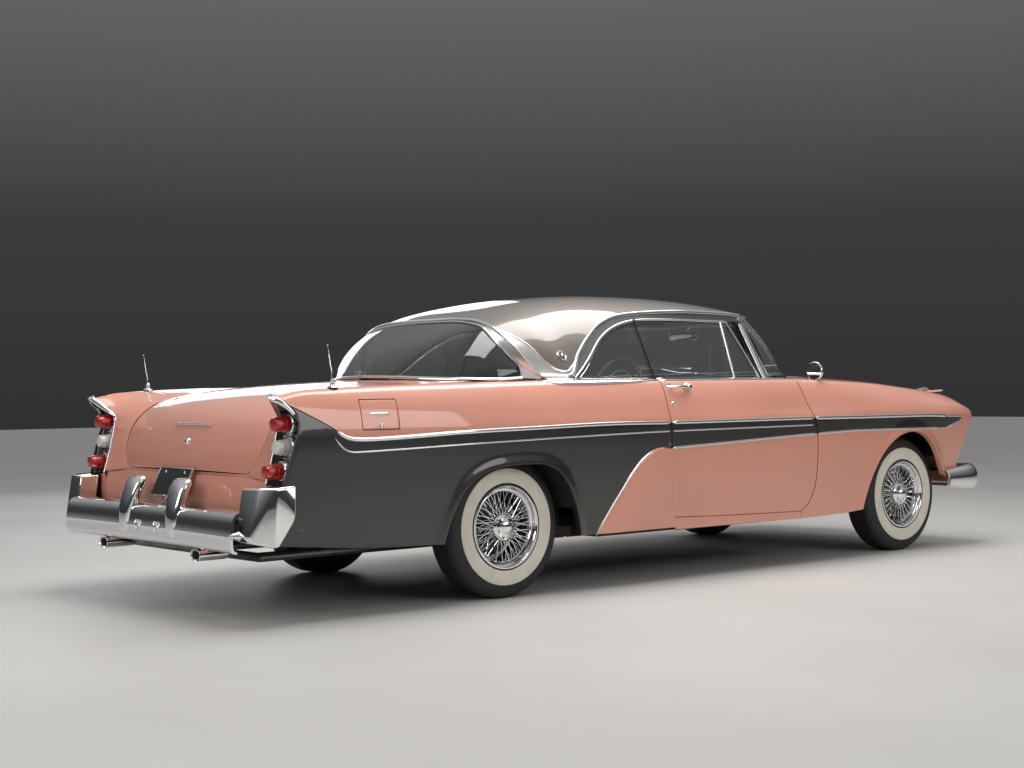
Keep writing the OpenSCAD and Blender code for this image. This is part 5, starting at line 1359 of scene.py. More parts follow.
# ---------------------------------------------------------------- wheels
def wheel(body, nodes, x, y, s):
    """Tyre with a wide white wall, stepped rim, laced wires, hub and drum. s is the outer side."""
    def L(prof): return [(r, s * h) for r, h in prof]
    c = (x, y, 348)
    nm = body.replace("wheel_", "")
    prof, mats = [], []
    def add(r, h, m):
        prof.append((r, h))
        mats.append(m)
    for r, h, m in ((191, 70, 0), (196, 82, 0), (203, 88, 0), (209, 90.5, 0), (213, 92, 1), (232, 95.5, 1), (256, 97.2, 1), (276, 97.0, 1), (282, 96.4, 1), (284, 94.0, 0), (300, 92.4, 0),
                    (314, 89, 0), (328, 83, 0), (338, 75, 0), (344, 66, 0)):
        add(r, h, m)
    for k in range(5):
        a = 58 - k * 25
        for r, h in ((348, a), (348, a - 17), (341, a - 18.5), (341, a - 23.5)):
            add(r, h, 0)
    for r, h in ((348, -58 - 0), (344, -66), (338, -75), (328, -83), (314, -89), (291, -95), (256, -97), (213, -92), (200, -84), (191, -70)):
        add(r, h, 0)
    t = Bag().lathe(L(prof), c, "y", 96, mats=mats)
    t.make("tyre_" + nm, [RUBBER, WHITEWALL], body, slot="tyre_rubber", reps=(nodes[1],), sharp=30)
    b = Bag()
    b.lathe(L([(191, 76), (200, 84), (206, 90), (204.5, 93.5), (199, 94), (194, 90), (190, 80), (187, 70), (181, 66), (177, 62), (172, 50), (170, 30), (169, 0), (170, -40), (180, -70), (198, -86),
               (204, -88), (200, -80), (190, -72)]), c, "y", 96)
    # stepped trim ring inside the lip
    b.lathe(L([(186, 71), (182, 74), (176, 73), (171, 66), (169, 60)]), c, "y", 96)
    b.lathe(L([(50, -30), (52, 0), (50, 20), (46, 30), (47, 60), (52, 66), (54, 72), (50, 78), (40, 80)]), c, "y", 48)
    # knock-off: cone with three short ears
    b.lathe(L([(66, 66), (67, 72), (62, 78), (52, 82), (48, 88), (46, 92), (38, 95), (33, 99), (26, 103), (14, 107), (0.01, 108)]), c, "y", 56)
    for k in range(3):
        a = 2 * math.pi * k / 3 + 0.4
        ux, uz = math.cos(a), math.sin(a)
        b.hull([(x + ux * r - uz * w, y + s * h, 348 + uz * r + ux * w) for r, w, h in ((28, 11, 86), (28, -11, 86), (28, 9, 97), (28, -9, 97), (60, 8, 84), (60, -8, 84), (60, 6, 92), (60, -6, 92), (66, 0, 86))])
    b.make("rim_and_hub_" + nm, [CHROME], body, slot="chrome", reps=(nodes[0],), sharp=30)
    w = Bag()
    N = 26
    for lay, (rh, hh, rr, hr, lean) in enumerate(((49, 66, 178, 64, 0.34), (49, 66, 178, 64, -0.34), (51, 12, 171, 34, 0.42), (51, 12, 171, 34, -0.42))):
        for k in range(N):
            a0 = 2 * math.pi * (k + 0.25 * lay) / N
            a1 = a0 + lean
            p0 = Vector((x + rh * math.cos(a0), y + s * (hh + (1.6 if lean > 0 else -1.6)), 348 + rh * math.sin(a0)))
            p1 = Vector((x + rr * math.cos(a1), y + s * hr, 348 + rr * math.sin(a1)))
            w.tube([p0, p1], [2.0, 1.9], 6)
    w.make("wire_spokes_" + nm, [CHROME], body, slot="chrome")
    d = Bag()
    prof = [(20, -22), (110, -24), (134, -26), (138, -30)]
    for k in range(5):
        prof += [(140, -34 - k * 7), (146, -35 - k * 7), (146, -38 - k * 7), (140, -39 - k * 7)]
    lim = -64 if "f" in nm else -66
    prof = [q for q in prof if q[1] >= lim]
    d.lathe(L(prof), c, "y", 64)
    d.make("brake_drum_" + nm, [DRUM], body, slot="knuckle_steel", sharp=30)
wheel("wheel_fl", ("wheel_front_left", "tyre_front_left"), 3200, 767, 1)
wheel("wheel_fr", ("wheel_front_right", "tyre_front_right"), 3200, -767, -1)
wheel("wheel_rl", ("wheel_rear_left", "tyre_rear_left"), 0, 757, 1)
wheel("wheel_rr", ("wheel_rear_right", "tyre_rear_right"), 0, -757, -1)

# ---------------------------------------------------------------- mirror and antennas
m_ = Bag()
cy_, cz_ = -842, 1104
m_.lathe([(0.01, 44), (16, 42), (34, 34), (48, 20), (55, 6), (57, -4), (55, -8), (51, -9)], (2384, cy_, cz_), "x", 48)
m_.tube([(2392, cy_, cz_ - 50), (2389, cy_, cz_ - 54), (2386, cy_, 1046), (2384, cy_, 1034)], [7, 7, 8, 11], 14)
superloft(m_, [(2384, cy_, 1010, 40, 23), (2384, cy_, 1026, 38, 22), (2384, cy_, 1036, 28, 16), (2384, cy_, 1041, 14, 9)], 28, 2)
m_.make("fender_mirror_body", [CHROME], "body", slot="chrome", reps=("fender_mirror",))
g_ = Bag()
g_.lathe([(52, -7), (51.5, -8), (0.01, -8.4)], (2384, cy_, cz_), "x", 48)
g_.make("fender_mirror_glass", [metal("mirror_silver", (0.9, 0.91, 0.91), (0.01, 0.03), 0.0)], "body", slot="chrome")
for sd in ("left", "right"):
    a_ = Bag()
    z0 = 1026
    a_.lathe([(24, -4), (24, 3), (20, 8), (12, 12), (10, 22), (12, 26), (9, 34), (5, 40), (0.01, 41)], (-1012, 861, z0 + 2), "z", 32)
    p0 = Vector((-1012, 861, z0 + 38))
    dr_ = Vector((-0.156, 0, 0.988))
    a_.tube([p0, p0 + dr_ * 60, p0 + dr_ * 62, p0 + dr_ * 110, p0 + dr_ * 112, p0 + dr_ * 152], [3.6, 3.6, 2.8, 2.8, 2.0, 1.8], 12)
    tp = p0 + dr_ * 154
    a_.lathe([(0.01, -4), (3, -3), (4, 0), (3, 3), (0.01, 4)], (tp.x, tp.y, tp.z), "z", 14)
    a_.make("antenna_mast_" + sd, [CHROME], "body", mirror=sd == "right", slot="chrome", reps=("antennas",) if sd == "left" else ())

# ---------------------------------------------------------------- filler panels behind the rear valance and under the lid
G = []
for y in frange(-786, 786, 70):
    row = []
    for t in frange(0, 1, 14):
        z = lerp(646, 436, t)
        x = val([[430, -1252], [462, -1288], [515, -1302], [580, -1295], [633, -1284], [650, -1280]], z) + 4 + 10 * (y / 786) ** 2
        row.append([x, y, z])
    G.append(row)
grid("rear_inner_panel", G, [PINK], "body", out=(-1, 0, 0), solid=3, slot="body_pink")
for sd in ("left", "right"):
    G = [[[val([[410, -1246], [462, -1290], [515, -1306], [604, -1306]], z) + 2 + 34 * smooth((y - 800) / 110), y, z] for z in frange(410, 606, 14)] for y in frange(768, 912, 16)]
    grid("lower_pontoon_end_" + sd, G, [PINK], "body", mirror=sd == "right", out=(-1, 0, 0), solid=3, slot="body_pink")

# ---------------------------------------------------------------- rocker skins under the doors
for sd in ("left", "right"):
    G = []
    for k in range(61):
        s = k / 60
        row = []
        for j in range(8):
            x = lerp(1100, 2124, s)
            z = 300
            for _ in range(3):
                bot = val(SIDE, x, 2)
                top = val([[1050, 336], [1600, 318], [2200, 306]], x) - 4
                z = lerp(bot, top, min(j, 5) / 5)
                x = lerp(dr(z) + 1.5, df(z) - 1.5, s)
            y = side_y(x, z)
            if j == 6:
                y, z = y - 4, z + 2
            if j == 7:
                y, z = y - 34, z + 4
            row.append([x, y, z])
        G.append(row)
    grid("rocker_skin_" + sd, G, [PINK], "body", mirror=sd == "right", out=(0, 1, 0.1), solid=5, bevel=1.5, sharp=45, slot="body_pink")

# ---------------------------------------------------------------- foot of the rear roof pillar
for sd in ("left", "right"):
    mir = sd == "right"
    UW = [(0.0, 0.74), (0.12, 0.775), (0.22, 0.806), (0.32, 0.84), (0.395, 0.869), (0.43, 0.899), (0.453, 0.933), (0.503, 0.96), (0.604, 0.976), (0.74, 0.983), (0.881, 0.986), (1.08, 0.987), (1.308, 0.986), (1.5, 0.992), (1.66, 0.997)]
    V = Bag()
    P_ = [Vector(roof_at(u, w)) for u, w in UW]
    n_ = Vector((-0.28, 0.86, 0.42)).normalized()
    V.ribbon([p + n_ * 1.5 for p in P_], [n_] * len(P_), 15, 6, 0, n=9)
    V.make("pillar_foot_moulding_" + sd, [CHROME], "body", mirror=mir, slot="chrome")
    G = []
    for k in range(1, len(UW)):
        u, w = UW[k]
        ub, wb = (0.0, lerp(0.78, 1, (k - 1) / 6)) if k < 7 else (lerp(0, 1.02, (k - 7) / 5) if k < 12 else lerp(1.02, 1.66, min(1, (k - 12) / 2)), 1.0)
        G.append([[c + d * 3.6 for c, d in zip(roof_at(lerp(u, ub, t), min(1, lerp(w, wb, t))), n_)] for t in (0, 0.25, 0.5, 0.75, 1)])
    grid("pillar_foot_plate_" + sd, G, [PALE], "body", mirror=mir, out=(-0.3, 0.9, 0.4), solid=2, slot="chrome")

# ---------------------------------------------------------------- fuel door
def rrect(x0, x1, z0, z1, r, n=6):
    L = []
    for cx, cz, a0 in ((x1 - r, z1 - r, 0), (x0 + r, z1 - r, 90), (x0 + r, z0 + r, 180), (x1 - r, z0 + r, 270)):
        L += [(cx + r * math.cos(math.radians(a0 + 90 * k / n)), cz + r * math.sin(math.radians(a0 + 90 * k / n))) for k in range(n + 1)]
    return L
def cut_out(obj, loop, y0, y1):
    """Opens the skin along a loop of (x, z) on the right side."""
    n = len(loop)
    Vc = [place((x, -y, z)) for y in (y0, y1) for x, z in loop]
    Fc = [tuple(range(n)), tuple(reversed(range(n, 2 * n)))] + [(k, k + n, (k + 1) % n + n, (k + 1) % n) for k in range(n)]
    me = bpy.data.meshes.new("cut")
    me.from_pydata(Vc, [], Fc)
    b = bmesh.new()
    b.from_mesh(me)
    bmesh.ops.recalc_face_normals(b, faces=b.faces)
    b.to_mesh(me)
    b.free()
    c = bpy.data.objects.new("cut", me)
    COLL.objects.link(c)
    c.matrix_world = Matrix.Identity(4)
    m = obj.modifiers.new("cut", "BOOLEAN")
    m.operation, m.object, m.solver = "DIFFERENCE", c, "EXACT"
    bpy.context.view_layer.update()
    new = bpy.data.meshes.new_from_object(obj.evaluated_get(bpy.context.evaluated_depsgraph_get()))
    obj.modifiers.clear()
    if len(new.polygons) > 500:
        obj.data = new
    bpy.data.objects.remove(c)
cut_out(bpy.data.objects["quarter_skin_right"], rrect(-918, -714, 838, 977, 9), 900, 1010)
cup = Bag()
lp = rrect(-918, -714, 838, 977, 9)
rows = [[[x, side_y(x, z) - 1.0, z] for x, z in lp], [[x, side_y(x, z) - 11, z] for x, z in lp], [[lerp(-816, x, 0.97), 872, lerp(907, z, 0.97)] for x, z in lp], [[lerp(-816, x, 0.5), 870, lerp(907, z, 0.5)] for x, z in lp], [[-816, 870, 907] for x, z in lp]]
cup.grid([list(r) for r in zip(*rows)], 0, wi=True)
cup.make("fuel_recess", [CHARCOAL], "body", mirror=True, out=(0, 1, 0), slot="body_charcoal")
nk = Bag()
nk.lathe([(40, -2), (40, 6), (36, 9), (36, 22), (39, 23), (39, 38), (36, 41), (14, 42), (0.01, 42)], (-816, 871, 906), "y", 40)
nk.hull([(-822, 911, 880), (-810, 911, 880), (-822, 911, 932), (-810, 911, 932), (-820, 921, 886), (-812, 921, 886), (-820, 921, 926), (-812, 921, 926)])
nk.make("fuel_filler_neck", [SATIN], "body", mirror=True, slot="chrome")
fl = rrect(-914, -718, 842, 973, 7)
Vf, Ff = cdt(fl, [], 12, lambda u, v: [u, side_y(u, v) + 0.4, v])
make("fuel_flap_skin", Vf, Ff, [PINK], "fuel_flap", mirror=True, out=(0, 1, 0), solid=5, bevel=1.4, sharp=40, slot="body_pink", reps=("fuel_door",))
fb = Bag()
z_ = 912
fb.ribbon([(x, side_y(x, z_) + 1, z_) for x in frange(-872, -760, 24)], [side_n(x, z_) for x in frange(-872, -760, 24)], 11, 5, 0, n=7, taper=18)
fb.lathe([(0.01, 9), (7, 8), (10, 5), (10, -2)], (-816, side_y(-816, 856), 856), "y", 24)
fb.make("fuel_flap_bar_and_knob", [CHROME], "fuel_flap", mirror=True, slot="chrome")
fh = Bag()
fh.tube([(-880, side_y(-880, 974) - 8, 972), (-752, side_y(-752, 974) - 8, 972)], 3.2, 12)
fh.make("fuel_flap_hinge_pin", [SATIN], "fuel_flap", mirror=True, slot="chrome")

# ---------------------------------------------------------------- nose
def resample(P, n):
    P = [Vector(p) for p in P]
    D = [0]
    for a, b in zip(P, P[1:]):
        D.append(D[-1] + (b - a).length)
    out, k = [], 0
    for i in range(n):
        d = D[-1] * i / (n - 1)
        while k < len(P) - 2 and D[k + 1] < d:
            k += 1
        q = (d - D[k]) / max(1e-6, D[k + 1] - D[k])
        out.append(P[k].lerp(P[k + 1], min(1, max(0, q))))
    return out
def hood_front(y):
    w = y / 700
    x = 3940 - 46 * w * w
    return [x, y, top_z(x, y) - 3]
OUTER = [[p[0] - 2, p[1] - 1.5, p[2]] for p in FG[-1]]
OUTER = [p for p in OUTER if p[2] >= 480]
OUTER += [hood_front(y) for y in frange(min(OUTER[-1][1] - 14, 690), 0, 20)]
HC, HR = (738, 782), 92
INNER = [[3790, 640, 476], [3796, 652, 520], [3804, 664, 572], [3816, 690, 636], [3838, 726, 684]]
INNER += [[3886, HC[0] + HR * math.cos(math.radians(a)), HC[1] + HR * math.sin(math.radians(a))] for a in frange(-80, 100, 19)]
INNER += [[3882, 690, 872], [3874, 640, 866], [3866, 600, 860]] + [[3862 + 14 * (1 - (y / 580) ** 2), y, 858] for y in frange(560, 0, 14)]
O_, I_ = resample(OUTER, 90), resample(INNER, 90)
for sd in ("left", "right"):
    G = []
    for a, b in zip(O_, I_):
        mid = a.lerp(b, 0.5)
        bul = Vector((22, 0, 0))
        G.append([list(a), list(a.lerp(b, 0.12) + bul * 0.42), list(a.lerp(b, 0.3) + bul * 0.85), list(mid + bul), list(a.lerp(b, 0.72) + bul * 0.85), list(a.lerp(b, 0.9) + bul * 0.5), list(b), list(b + Vector((-26, 0, 0)))])
    grid("nose_skin_" + sd, G, [PINK], "body", mirror=sd == "right", out=(1, 0.3, 0), solid=3, sharp=48, slot="body_pink")
lipb = Bag()
Lh = [hood_front(y) for y in frange(-690, 690, 60)]
lipb.ribbon([(p[0] + 3, p[1], p[2] - 2) for p in Lh], [(1, 0, 0.25)] * 60, 13, 5, 0, n=7, taper=14)
lipb.make("hood_front_moulding", [CHROME], "body", slot="chrome")
bk = Bag()
bk.box([3788, -830, 470], [3796, 830, 880])
bk.box([3700, -880, 466], [3796, 880, 474])
bk.make("nose_back_panel", [HOLLOW], "body", slot="chassis_black", reps=("grille",))
gr = Bag()
FR = [(3862, 0, 856)] + [(3862, y, 856) for y in frange(60, 590, 8)] + [(3858, 622, 842), (3850, 640, 800), (3844, 648, 700), (3836, 640, 600), (3830, 612, 560)] + [(3832, y, 552) for y in frange(560, 0, 9)]
FR = FR + [(x, -y, z) for x, y, z in reversed(FR[1:-1])]
gr.tube([Vector(p) for p in FR] + [Vector(FR[0])], 13, 12)
for z in (620, 686, 752, 812):
    wd = 632 if z > 640 else 622
    gr.tube([(3846 + 18 * (1 - (y / wd) ** 2), y, z) for y in frange(-wd, wd, 40)], [7] * 40, 10)
for k in range(-14, 15):
    y = k * 42
    gr.tube([(3836 + 14 * (1 - (y / 620) ** 2), y, 566), (3840 + 14 * (1 - (y / 620) ** 2), y, 846)], 4, 8)
gr.make("grille_bars", [CHROME], "body", slot="chrome", sharp=32)
gm = Bag()
gm.grid([[[3822 + 12 * (1 - (y / 620) ** 2), y, z] for z in frange(556, 852, 9)] for y in frange(-636, 636, 30)])
gm.make("grille_mesh_panel", [MESH], "body", solid=1, slot="chrome")
vz = Bag()
vz.grid([[[lerp(3800, 3770, (abs(y) / 860) ** 2) + 8 * math.sin(math.pi * t), y, lerp(396, 556, t)] for t in frange(0, 1, 7)] for y in frange(-800, 800, 60)])
vz.make("front_valance_pan", [PINK], "body", out=(1, 0, 0), solid=3, slot="body_pink")
for sd in ("left", "right"):
    h = Bag()
    hx = 3894
    h.lathe([(70, -40), (92, -8), (101, 4), (103, 14), (99, 22), (91, 26), (84, 22), (80, 12)], (hx, 738, 782), "x", 64)
    h.make("headlight_bezel_" + sd, [CHROME], "body", mirror=sd == "right", slot="chrome", reps=("headlights",) if sd == "left" else ())
    r = Bag()
    r.lathe([(0.01, -42), (30, -38), (58, -24), (76, -4), (82, 10)], (hx, 738, 782), "x", 48)
    r.make("headlight_reflector_" + sd, [SATIN], "body", mirror=sd == "right", slot="chrome")
    g = Bag()
    g.lathe([(82, 12), (76, 22), (58, 31), (30, 37), (0.01, 39)], (hx, 738, 782), "x", 48)
    g.make("headlight_lens_" + sd, [GLASS], "body", mirror=sd == "right", slot="clear_glass")
    t = Bag()
    t.lathe([(44, -6), (46, 6), (42, 14), (36, 12)], (3838, 742, 596), "x", 36)
    t.make("park_lamp_bezel_" + sd, [CHROME], "body", mirror=sd == "right", slot="chrome")
    t = Bag()
    t.lathe([(37, 8), (30, 20), (16, 25), (0.01, 26)], (3838, 742, 596), "x", 36)
    t.make("park_lamp_lens_" + sd, [WHITE], "body", mirror=sd == "right", slot="lamp_red")

# front bumper
PATH = [Vector((4034 - 34 * (y / 760) ** 2, y, 0)) for y in frange(0, 740, 26)] + [Vector(p) for p in ((3992, 790, 0), (3974, 836, 0), (3944, 876, 0), (3900, 905, 0), (3840, 922, 0), (3780, 932, 0), (3700, 940, 0), (3620, 944, 0), (3560, 945, 0))]
SECF = [(-26, 352), (-8, 353), (8, 360), (20, 376), (27, 398), (30, 424), (26, 452), (16, 478), (4, 496), (-12, 506), (-34, 510), (-44, 506), (-34, 500), (-18, 494), (-4, 476), (6, 450), (12, 424), (8, 396), (-4, 372), (-16, 362), (-28, 360)]
full = [Vector((p.x, -p.y, 0)) for p in reversed(PATH[1:])] + PATH
G = []
for k, p in enumerate(full):
    t = (full[min(k + 1, len(full) - 1)] - full[max(k - 1, 0)]).normalized()
    n = Vector((t.y, -t.x, 0))
    e = min(1, min(k, len(full) - 1 - k) / 5)
    sc = 0.72 + 0.28 * smooth(e)
    G.append([[p.x + n.x * o * sc, p.y + n.y * o * sc, 430 + (z - 430) * sc] for o, z in SECF])
fbm = Bag().grid(G, 0, wj=True)
k_ = len(SECF)
fbm.F += [tuple(range(k_)), tuple((len(G) - 1) * k_ + j for j in reversed(range(k_)))]
fbm.I += [0, 0]
fbm.make("front_bumper_blade", [CHROME], "body", slot="chrome", reps=("front_bumper",), sharp=45)
for sd in ("left", "right"):
    g = Bag()
    superloft(g, [(4062, 360, 346, 30, 40), (4078, 360, 356, 40, 52), (4084, 360, 400, 44, 56), (4082, 360, 450, 42, 52), (4072, 360, 510, 38, 46), (4060, 360, 560, 33, 41), (4052, 360, 588, 27, 35), (4048, 360, 600, 18, 25), (4048, 360, 605, 6, 9)], 36, 2.6)
    g.lathe([(36, -10), (33, 14), (27, 30), (17, 42), (7, 48), (0.01, 50)], (4076, 360, 430), "x", 36)
    g.tube([(3704, 420, 378), (4020, 420, 378)], 18, 16)
    g.make("front_bumper_guard_" + sd, [CHROME], "body", mirror=sd == "right", slot="chrome", sharp=50)

for sd in ("left", "right"):
    G = []
    for x in frange(2172, 2644, 36):
        yi = val([[2164, 772], [2200, 738], [2262, 690], [2640, 690]], x) - 7
        yo = fender_in(x) + 9
        G.append([[x, lerp(yi, yo, t), top_z(x, lerp(yi, yo, t)) - 2] for t in frange(0, 1, 8)])
    grid("cowl_side_skin_" + sd, G, [PINK], "body", mirror=sd == "right", out=(0, 0, 1), solid=5, sharp=50, slot="body_pink")
# hood and fender ornaments, plain
orn = Bag()
orn.tube([(3620, 0, top_z(3620, 0) + 8), (3700, 0, top_z(3700, 0) + 16), (3790, 0, top_z(3790, 0) + 22), (3850, 0, top_z(3850, 0) + 14)], [5, 10, 12, 5], 16)
orn.tube([(3740, 0, top_z(3740, 0) - 2), (3740, 0, top_z(3740, 0) + 18)], [18, 9], 14)
orn.make("hood_front_ornament", [CHROME], "hood", slot="chrome")
for sd in ("left", "right"):
    o_ = Bag()
    zt = top_z(3640, 700)
    o_.tube([(3570, 700, zt + 5), (3630, 700, zt + 13), (3690, 700, zt + 17), (3722, 700, zt + 9)], [3, 7, 9, 3], 14)
    o_.tube([(3650, 700, zt - 4), (3650, 700, zt + 13)], [11, 6], 12)
    o_.make("fender_ornament_" + sd, [CHROME], "body", mirror=sd == "right", slot="chrome")

# ---------------------------------------------------------------- benches
def bench(name, prof, hw, channels, node, edge=150):
    """Upholstered block: prof runs round the cushion as (x, z), crowned and sewn into channels across its width."""
    n = len(prof)
    cx, cz = sum(p[0] for p in prof) / n, sum(p[1] for p in prof) / n
    R = resample([(p[0], p[1], 0) for p in prof] + [(prof[0][0], prof[0][1], 0)], 61)[:-1]
    ys = frange(-hw, hw, 145)
    G, M = [], []
    for y in ys:
        d = min(hw - abs(y), 46) / 46
        rnd = 1 - (1 - math.sqrt(max(0, 1 - (1 - d) ** 2))) * 0.22
        inch = abs(y) < hw - edge
        g = 1.0
        if inch:
            ph = ((y + hw - edge) / ((hw - edge) * 2) * channels) % 1
            g = 1 - 0.55 * math.exp(-((min(ph, 1 - ph) / 0.11) ** 2))
        else:
            g = 1 - 0.75 * math.exp(-(((hw - edge - abs(y)) / 9) ** 2))
        row = []
        for k, p in enumerate(R):
            v = Vector((p.x - cx, p.y - cz))
            soft = 13 * g
            u = v.normalized()
            row.append([cx + (v.x * 0.955) * rnd + u.x * (soft - 9), y, cz + (v.y * 0.93) * rnd + u.y * (soft - 9)])
        G.append(row)
    nj = len(R)
    mats = [0 if abs((ys[i] + ys[i + 1]) / 2) < hw - edge else 1 for i in range(len(ys) - 1) for j in range(nj)]
    b = Bag().grid(G, 0, wj=True, mats=mats)
    b.F += [tuple(range(nj)), tuple((len(G) - 1) * nj + j for j in reversed(range(nj)))]
    b.I += [1, 1]
    o = b.make(name, [CLOTH, VINYL_LIGHT], "body", slot="trim_cloth", reps=node, sharp=60)
    pb = Bag()
    for s in (-1, 1):
        yy = s * (hw - edge)
        i = min(range(len(ys)), key=lambda q: abs(ys[q] - yy))
        pts = [Vector(G[i][k]) for k in list(range(nj)) + [0]]
        pb.tube(pts, 4.2, 8)
    pb.make(name + "_piping", [VINYL_DARK], "body", slot="trim_cloth")
def rounded(P, r, n=5):
    out = []
    m = len(P)
    for k in range(m):
        a, b, c = Vector(P[k - 1]), Vector(P[k]), Vector(P[(k + 1) % m])
        q = min(r, (a - b).length * 0.45, (c - b).length * 0.45)
        p0, p1 = b + (a - b).normalized() * q, b + (c - b).normalized() * q
        for i in range(n + 1):
            t = i / n
            out.append(tuple(p0.lerp(b, t).lerp(b.lerp(p1, t), t)))
    return out
bench("front_bench_cushion", rounded([(1180, 500), (1660, 470), (1700, 560), (1680, 640), (1200, 620)], 46), 645, 13, ("front_seat",))
bench("front_bench_back", rounded([(1010, 560), (1160, 630), (1080, 1040), (1030, 1060), (960, 1040)], 40), 645, 13, ())
bench("rear_bench_cushion", rounded([(500, 478), (930, 476), (940, 560), (920, 612), (510, 590)], 44), 590, 12, ("rear_seat",))
bench("rear_bench_back", rounded([(410, 604), (480, 620), (385, 972), (340, 984), (292, 960)], 38), 590, 12, ())
fp = Bag()
for y in (-340, 340):
    fp.box([1200, y - 150, 318], [1600, y + 150, 470])
fp.make("front_bench_risers", [CHASSIS], "body", bevel=6, slot="chassis_black")
cr = Bag()
cr.ribbon([(1022, y, 1062) for y in frange(-600, 600, 30)], [(-0.2, 0, 1)] * 30, 12, 4, 0, n=7, taper=20)
cr.make("front_bench_top_moulding", [CHROME], "body", slot="chrome")

# ---------------------------------------------------------------- dashboard, wheel and controls
DP = [(2062, 1026), (2076, 1042), (2110, 1054), (2160, 1056), (2232, 1043), (2236, 1024), (2160, 992), (2110, 862), (2092, 852), (2078, 862), (2066, 900), (2052, 960), (2048, 992)]
da = Bag()
ys = frange(-655, 655, 60)
da.grid([[[x + (8 * (1 - (y / 655) ** 2)), y, z] for x, z in DP] for y in ys], 0, wj=True)
nj = len(DP)
da.F += [tuple(range(nj)), tuple((len(ys) - 1) * nj + j for j in reversed(range(nj)))]
da.I += [0, 0]
da.make("dashboard_shell", [DASH], "body", slot="dash_paint", reps=("dashboard",), sharp=35)
dt = Bag()
dt.ribbon([(2048, y, 940) for y in frange(-640, 640, 50)], [(-1, 0, 0.1)] * 50, 14, 5, 0, n=7)
dt.ribbon([(2058, y, 896) for y in frange(-640, 640, 50)], [(-1, 0, 0.1)] * 50, 8, 4, 0, n=7)
for y, r in ((500, 34), (372, 66), (244, 34)):
    dt.lathe([(r - 6, -4), (r - 4, -12), (r, -14), (r + 4, -10), (r + 5, 2)], (2054, y, 985), "x", 48)
for y in (560, 180, 120, 60, -60):
    dt.lathe([(0.01, -26), (11, -25), (13, -20), (12, -12), (5, -10), (5, 4)], (2060, y, 916), "x", 20)
for y0, y1 in ((60, -60),):
    dt.box([2043, -90, 958], [2052, 90, 962])
    dt.box([2043, -90, 1004], [2052, 90, 1008])
dt.make("dashboard_brightwork", [CHROME], "body", slot="chrome", bevel=0)
dd = Bag()
for y, r in ((500, 30), (372, 62), (244, 30)):
    dd.lathe([(0.01, -3), (r, -3), (r, 4)], (2052, y, 985), "x", 40)
for k in range(9):
    dd.box([2042, -80 + k * 19, 966], [2048, -66 + k * 19, 1000])
dd.make("dashboard_dial_faces", [IVORY], "body", slot="dash_paint")
dn = Bag()
for y, r, a in ((500, 24, 40), (372, 52, -30), (244, 24, 20)):
    c, s = math.cos(math.radians(a)), math.sin(math.radians(a))
    dn.tube([(2046, y, 985), (2046, y + s * r, 985 + c * r)], [2.4, 0.8], 8)
    for q in range(-4, 5):
        w = math.radians(q * 32)
        dn.tube([(2047.6, y + math.sin(w) * (r * 1.02), 985 + math.cos(w) * (r * 1.02)), (2047.6, y + math.sin(w) * (r * 1.15), 985 + math.cos(w) * (r * 1.15))], 1.1, 6)
dn.make("dashboard_needles_and_marks", [SEAL], "body", slot="dash_paint")
gbx = Bag()
gbx.box([2044, -560, 952], [2050, -300, 1018])
gbx.make("glove_box_lid", [DASH], "body", bevel=3, slot="dash_paint")

SC = Vector((1940, 372, 1012))
ax = Vector((-math.sin(math.radians(68)), 0, math.cos(math.radians(68))))
e2 = Vector((0, 1, 0))
e1 = e2.cross(ax)
def sw(u, v, h): return SC + e1 * u + e2 * v + ax * h
R0 = 205.0
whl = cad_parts.get("steering_wheel")
if whl is not None:
    R0 = max(whl.dimensions) * 500 - 11
swb = Bag()
ring = []
for k in range(72):
    a = 2 * math.pi * k / 72
    row = []
    for j in range(14):
        b = 2 * math.pi * j / 14
        rr = R0 + 11 * math.cos(b)
        bump_ = 1.2 * max(0, math.cos(36 * a)) if math.sin(b) < 0 else 0
        row.append(list(sw(rr * math.cos(a), rr * math.sin(a), (11 - bump_) * math.sin(b))))
    ring.append(row)
swb.grid(ring, 0, wi=True, wj=True)
swb.make("steering_rim", [IVORY], "steering_wheel", slot="steering_rim", reps=("steering_wheel",))
sp = Bag()
for s in (-1, 1):
    sp.tube([sw(0, s * 30, -30), sw(0, s * 90, -26), sw(0, s * 150, -14), sw(0, s * (R0 - 4), -2)], [15, 11, 10, 8], 14)
hr = 126
sp.tube([sw(hr * math.cos(a), hr * math.sin(a), -8) for a in [2 * math.pi * k / 56 for k in range(57)]], 4.2, 10)
for a in (0, math.pi):
    sp.tube([sw(0, 0, -14), sw(hr * math.cos(a + math.pi / 2), hr * math.sin(a + math.pi / 2), -8)], 4, 8)
def dome(prof, mat, nm):
    b = Bag()
    G = [[list(sw(r * math.cos(2 * math.pi * k / 40), r * math.sin(2 * math.pi * k / 40), h)) for r, h in prof] for k in range(40)]
    b.grid(G, 0, wi=True)
    return b.make(nm, [mat], "steering_wheel", slot="steering_rim" if mat is IVORY else "chrome", sharp=30)
sp.make("steering_spokes_and_horn_ring", [CHROME], "steering_wheel", slot="chrome")
dome([(46, -46), (46, -20), (42, -10), (34, -6)], CHROME, "steering_hub")
dome([(34, -8), (30, -1), (18, 4), (0.01, 6)], IVORY, "horn_button")

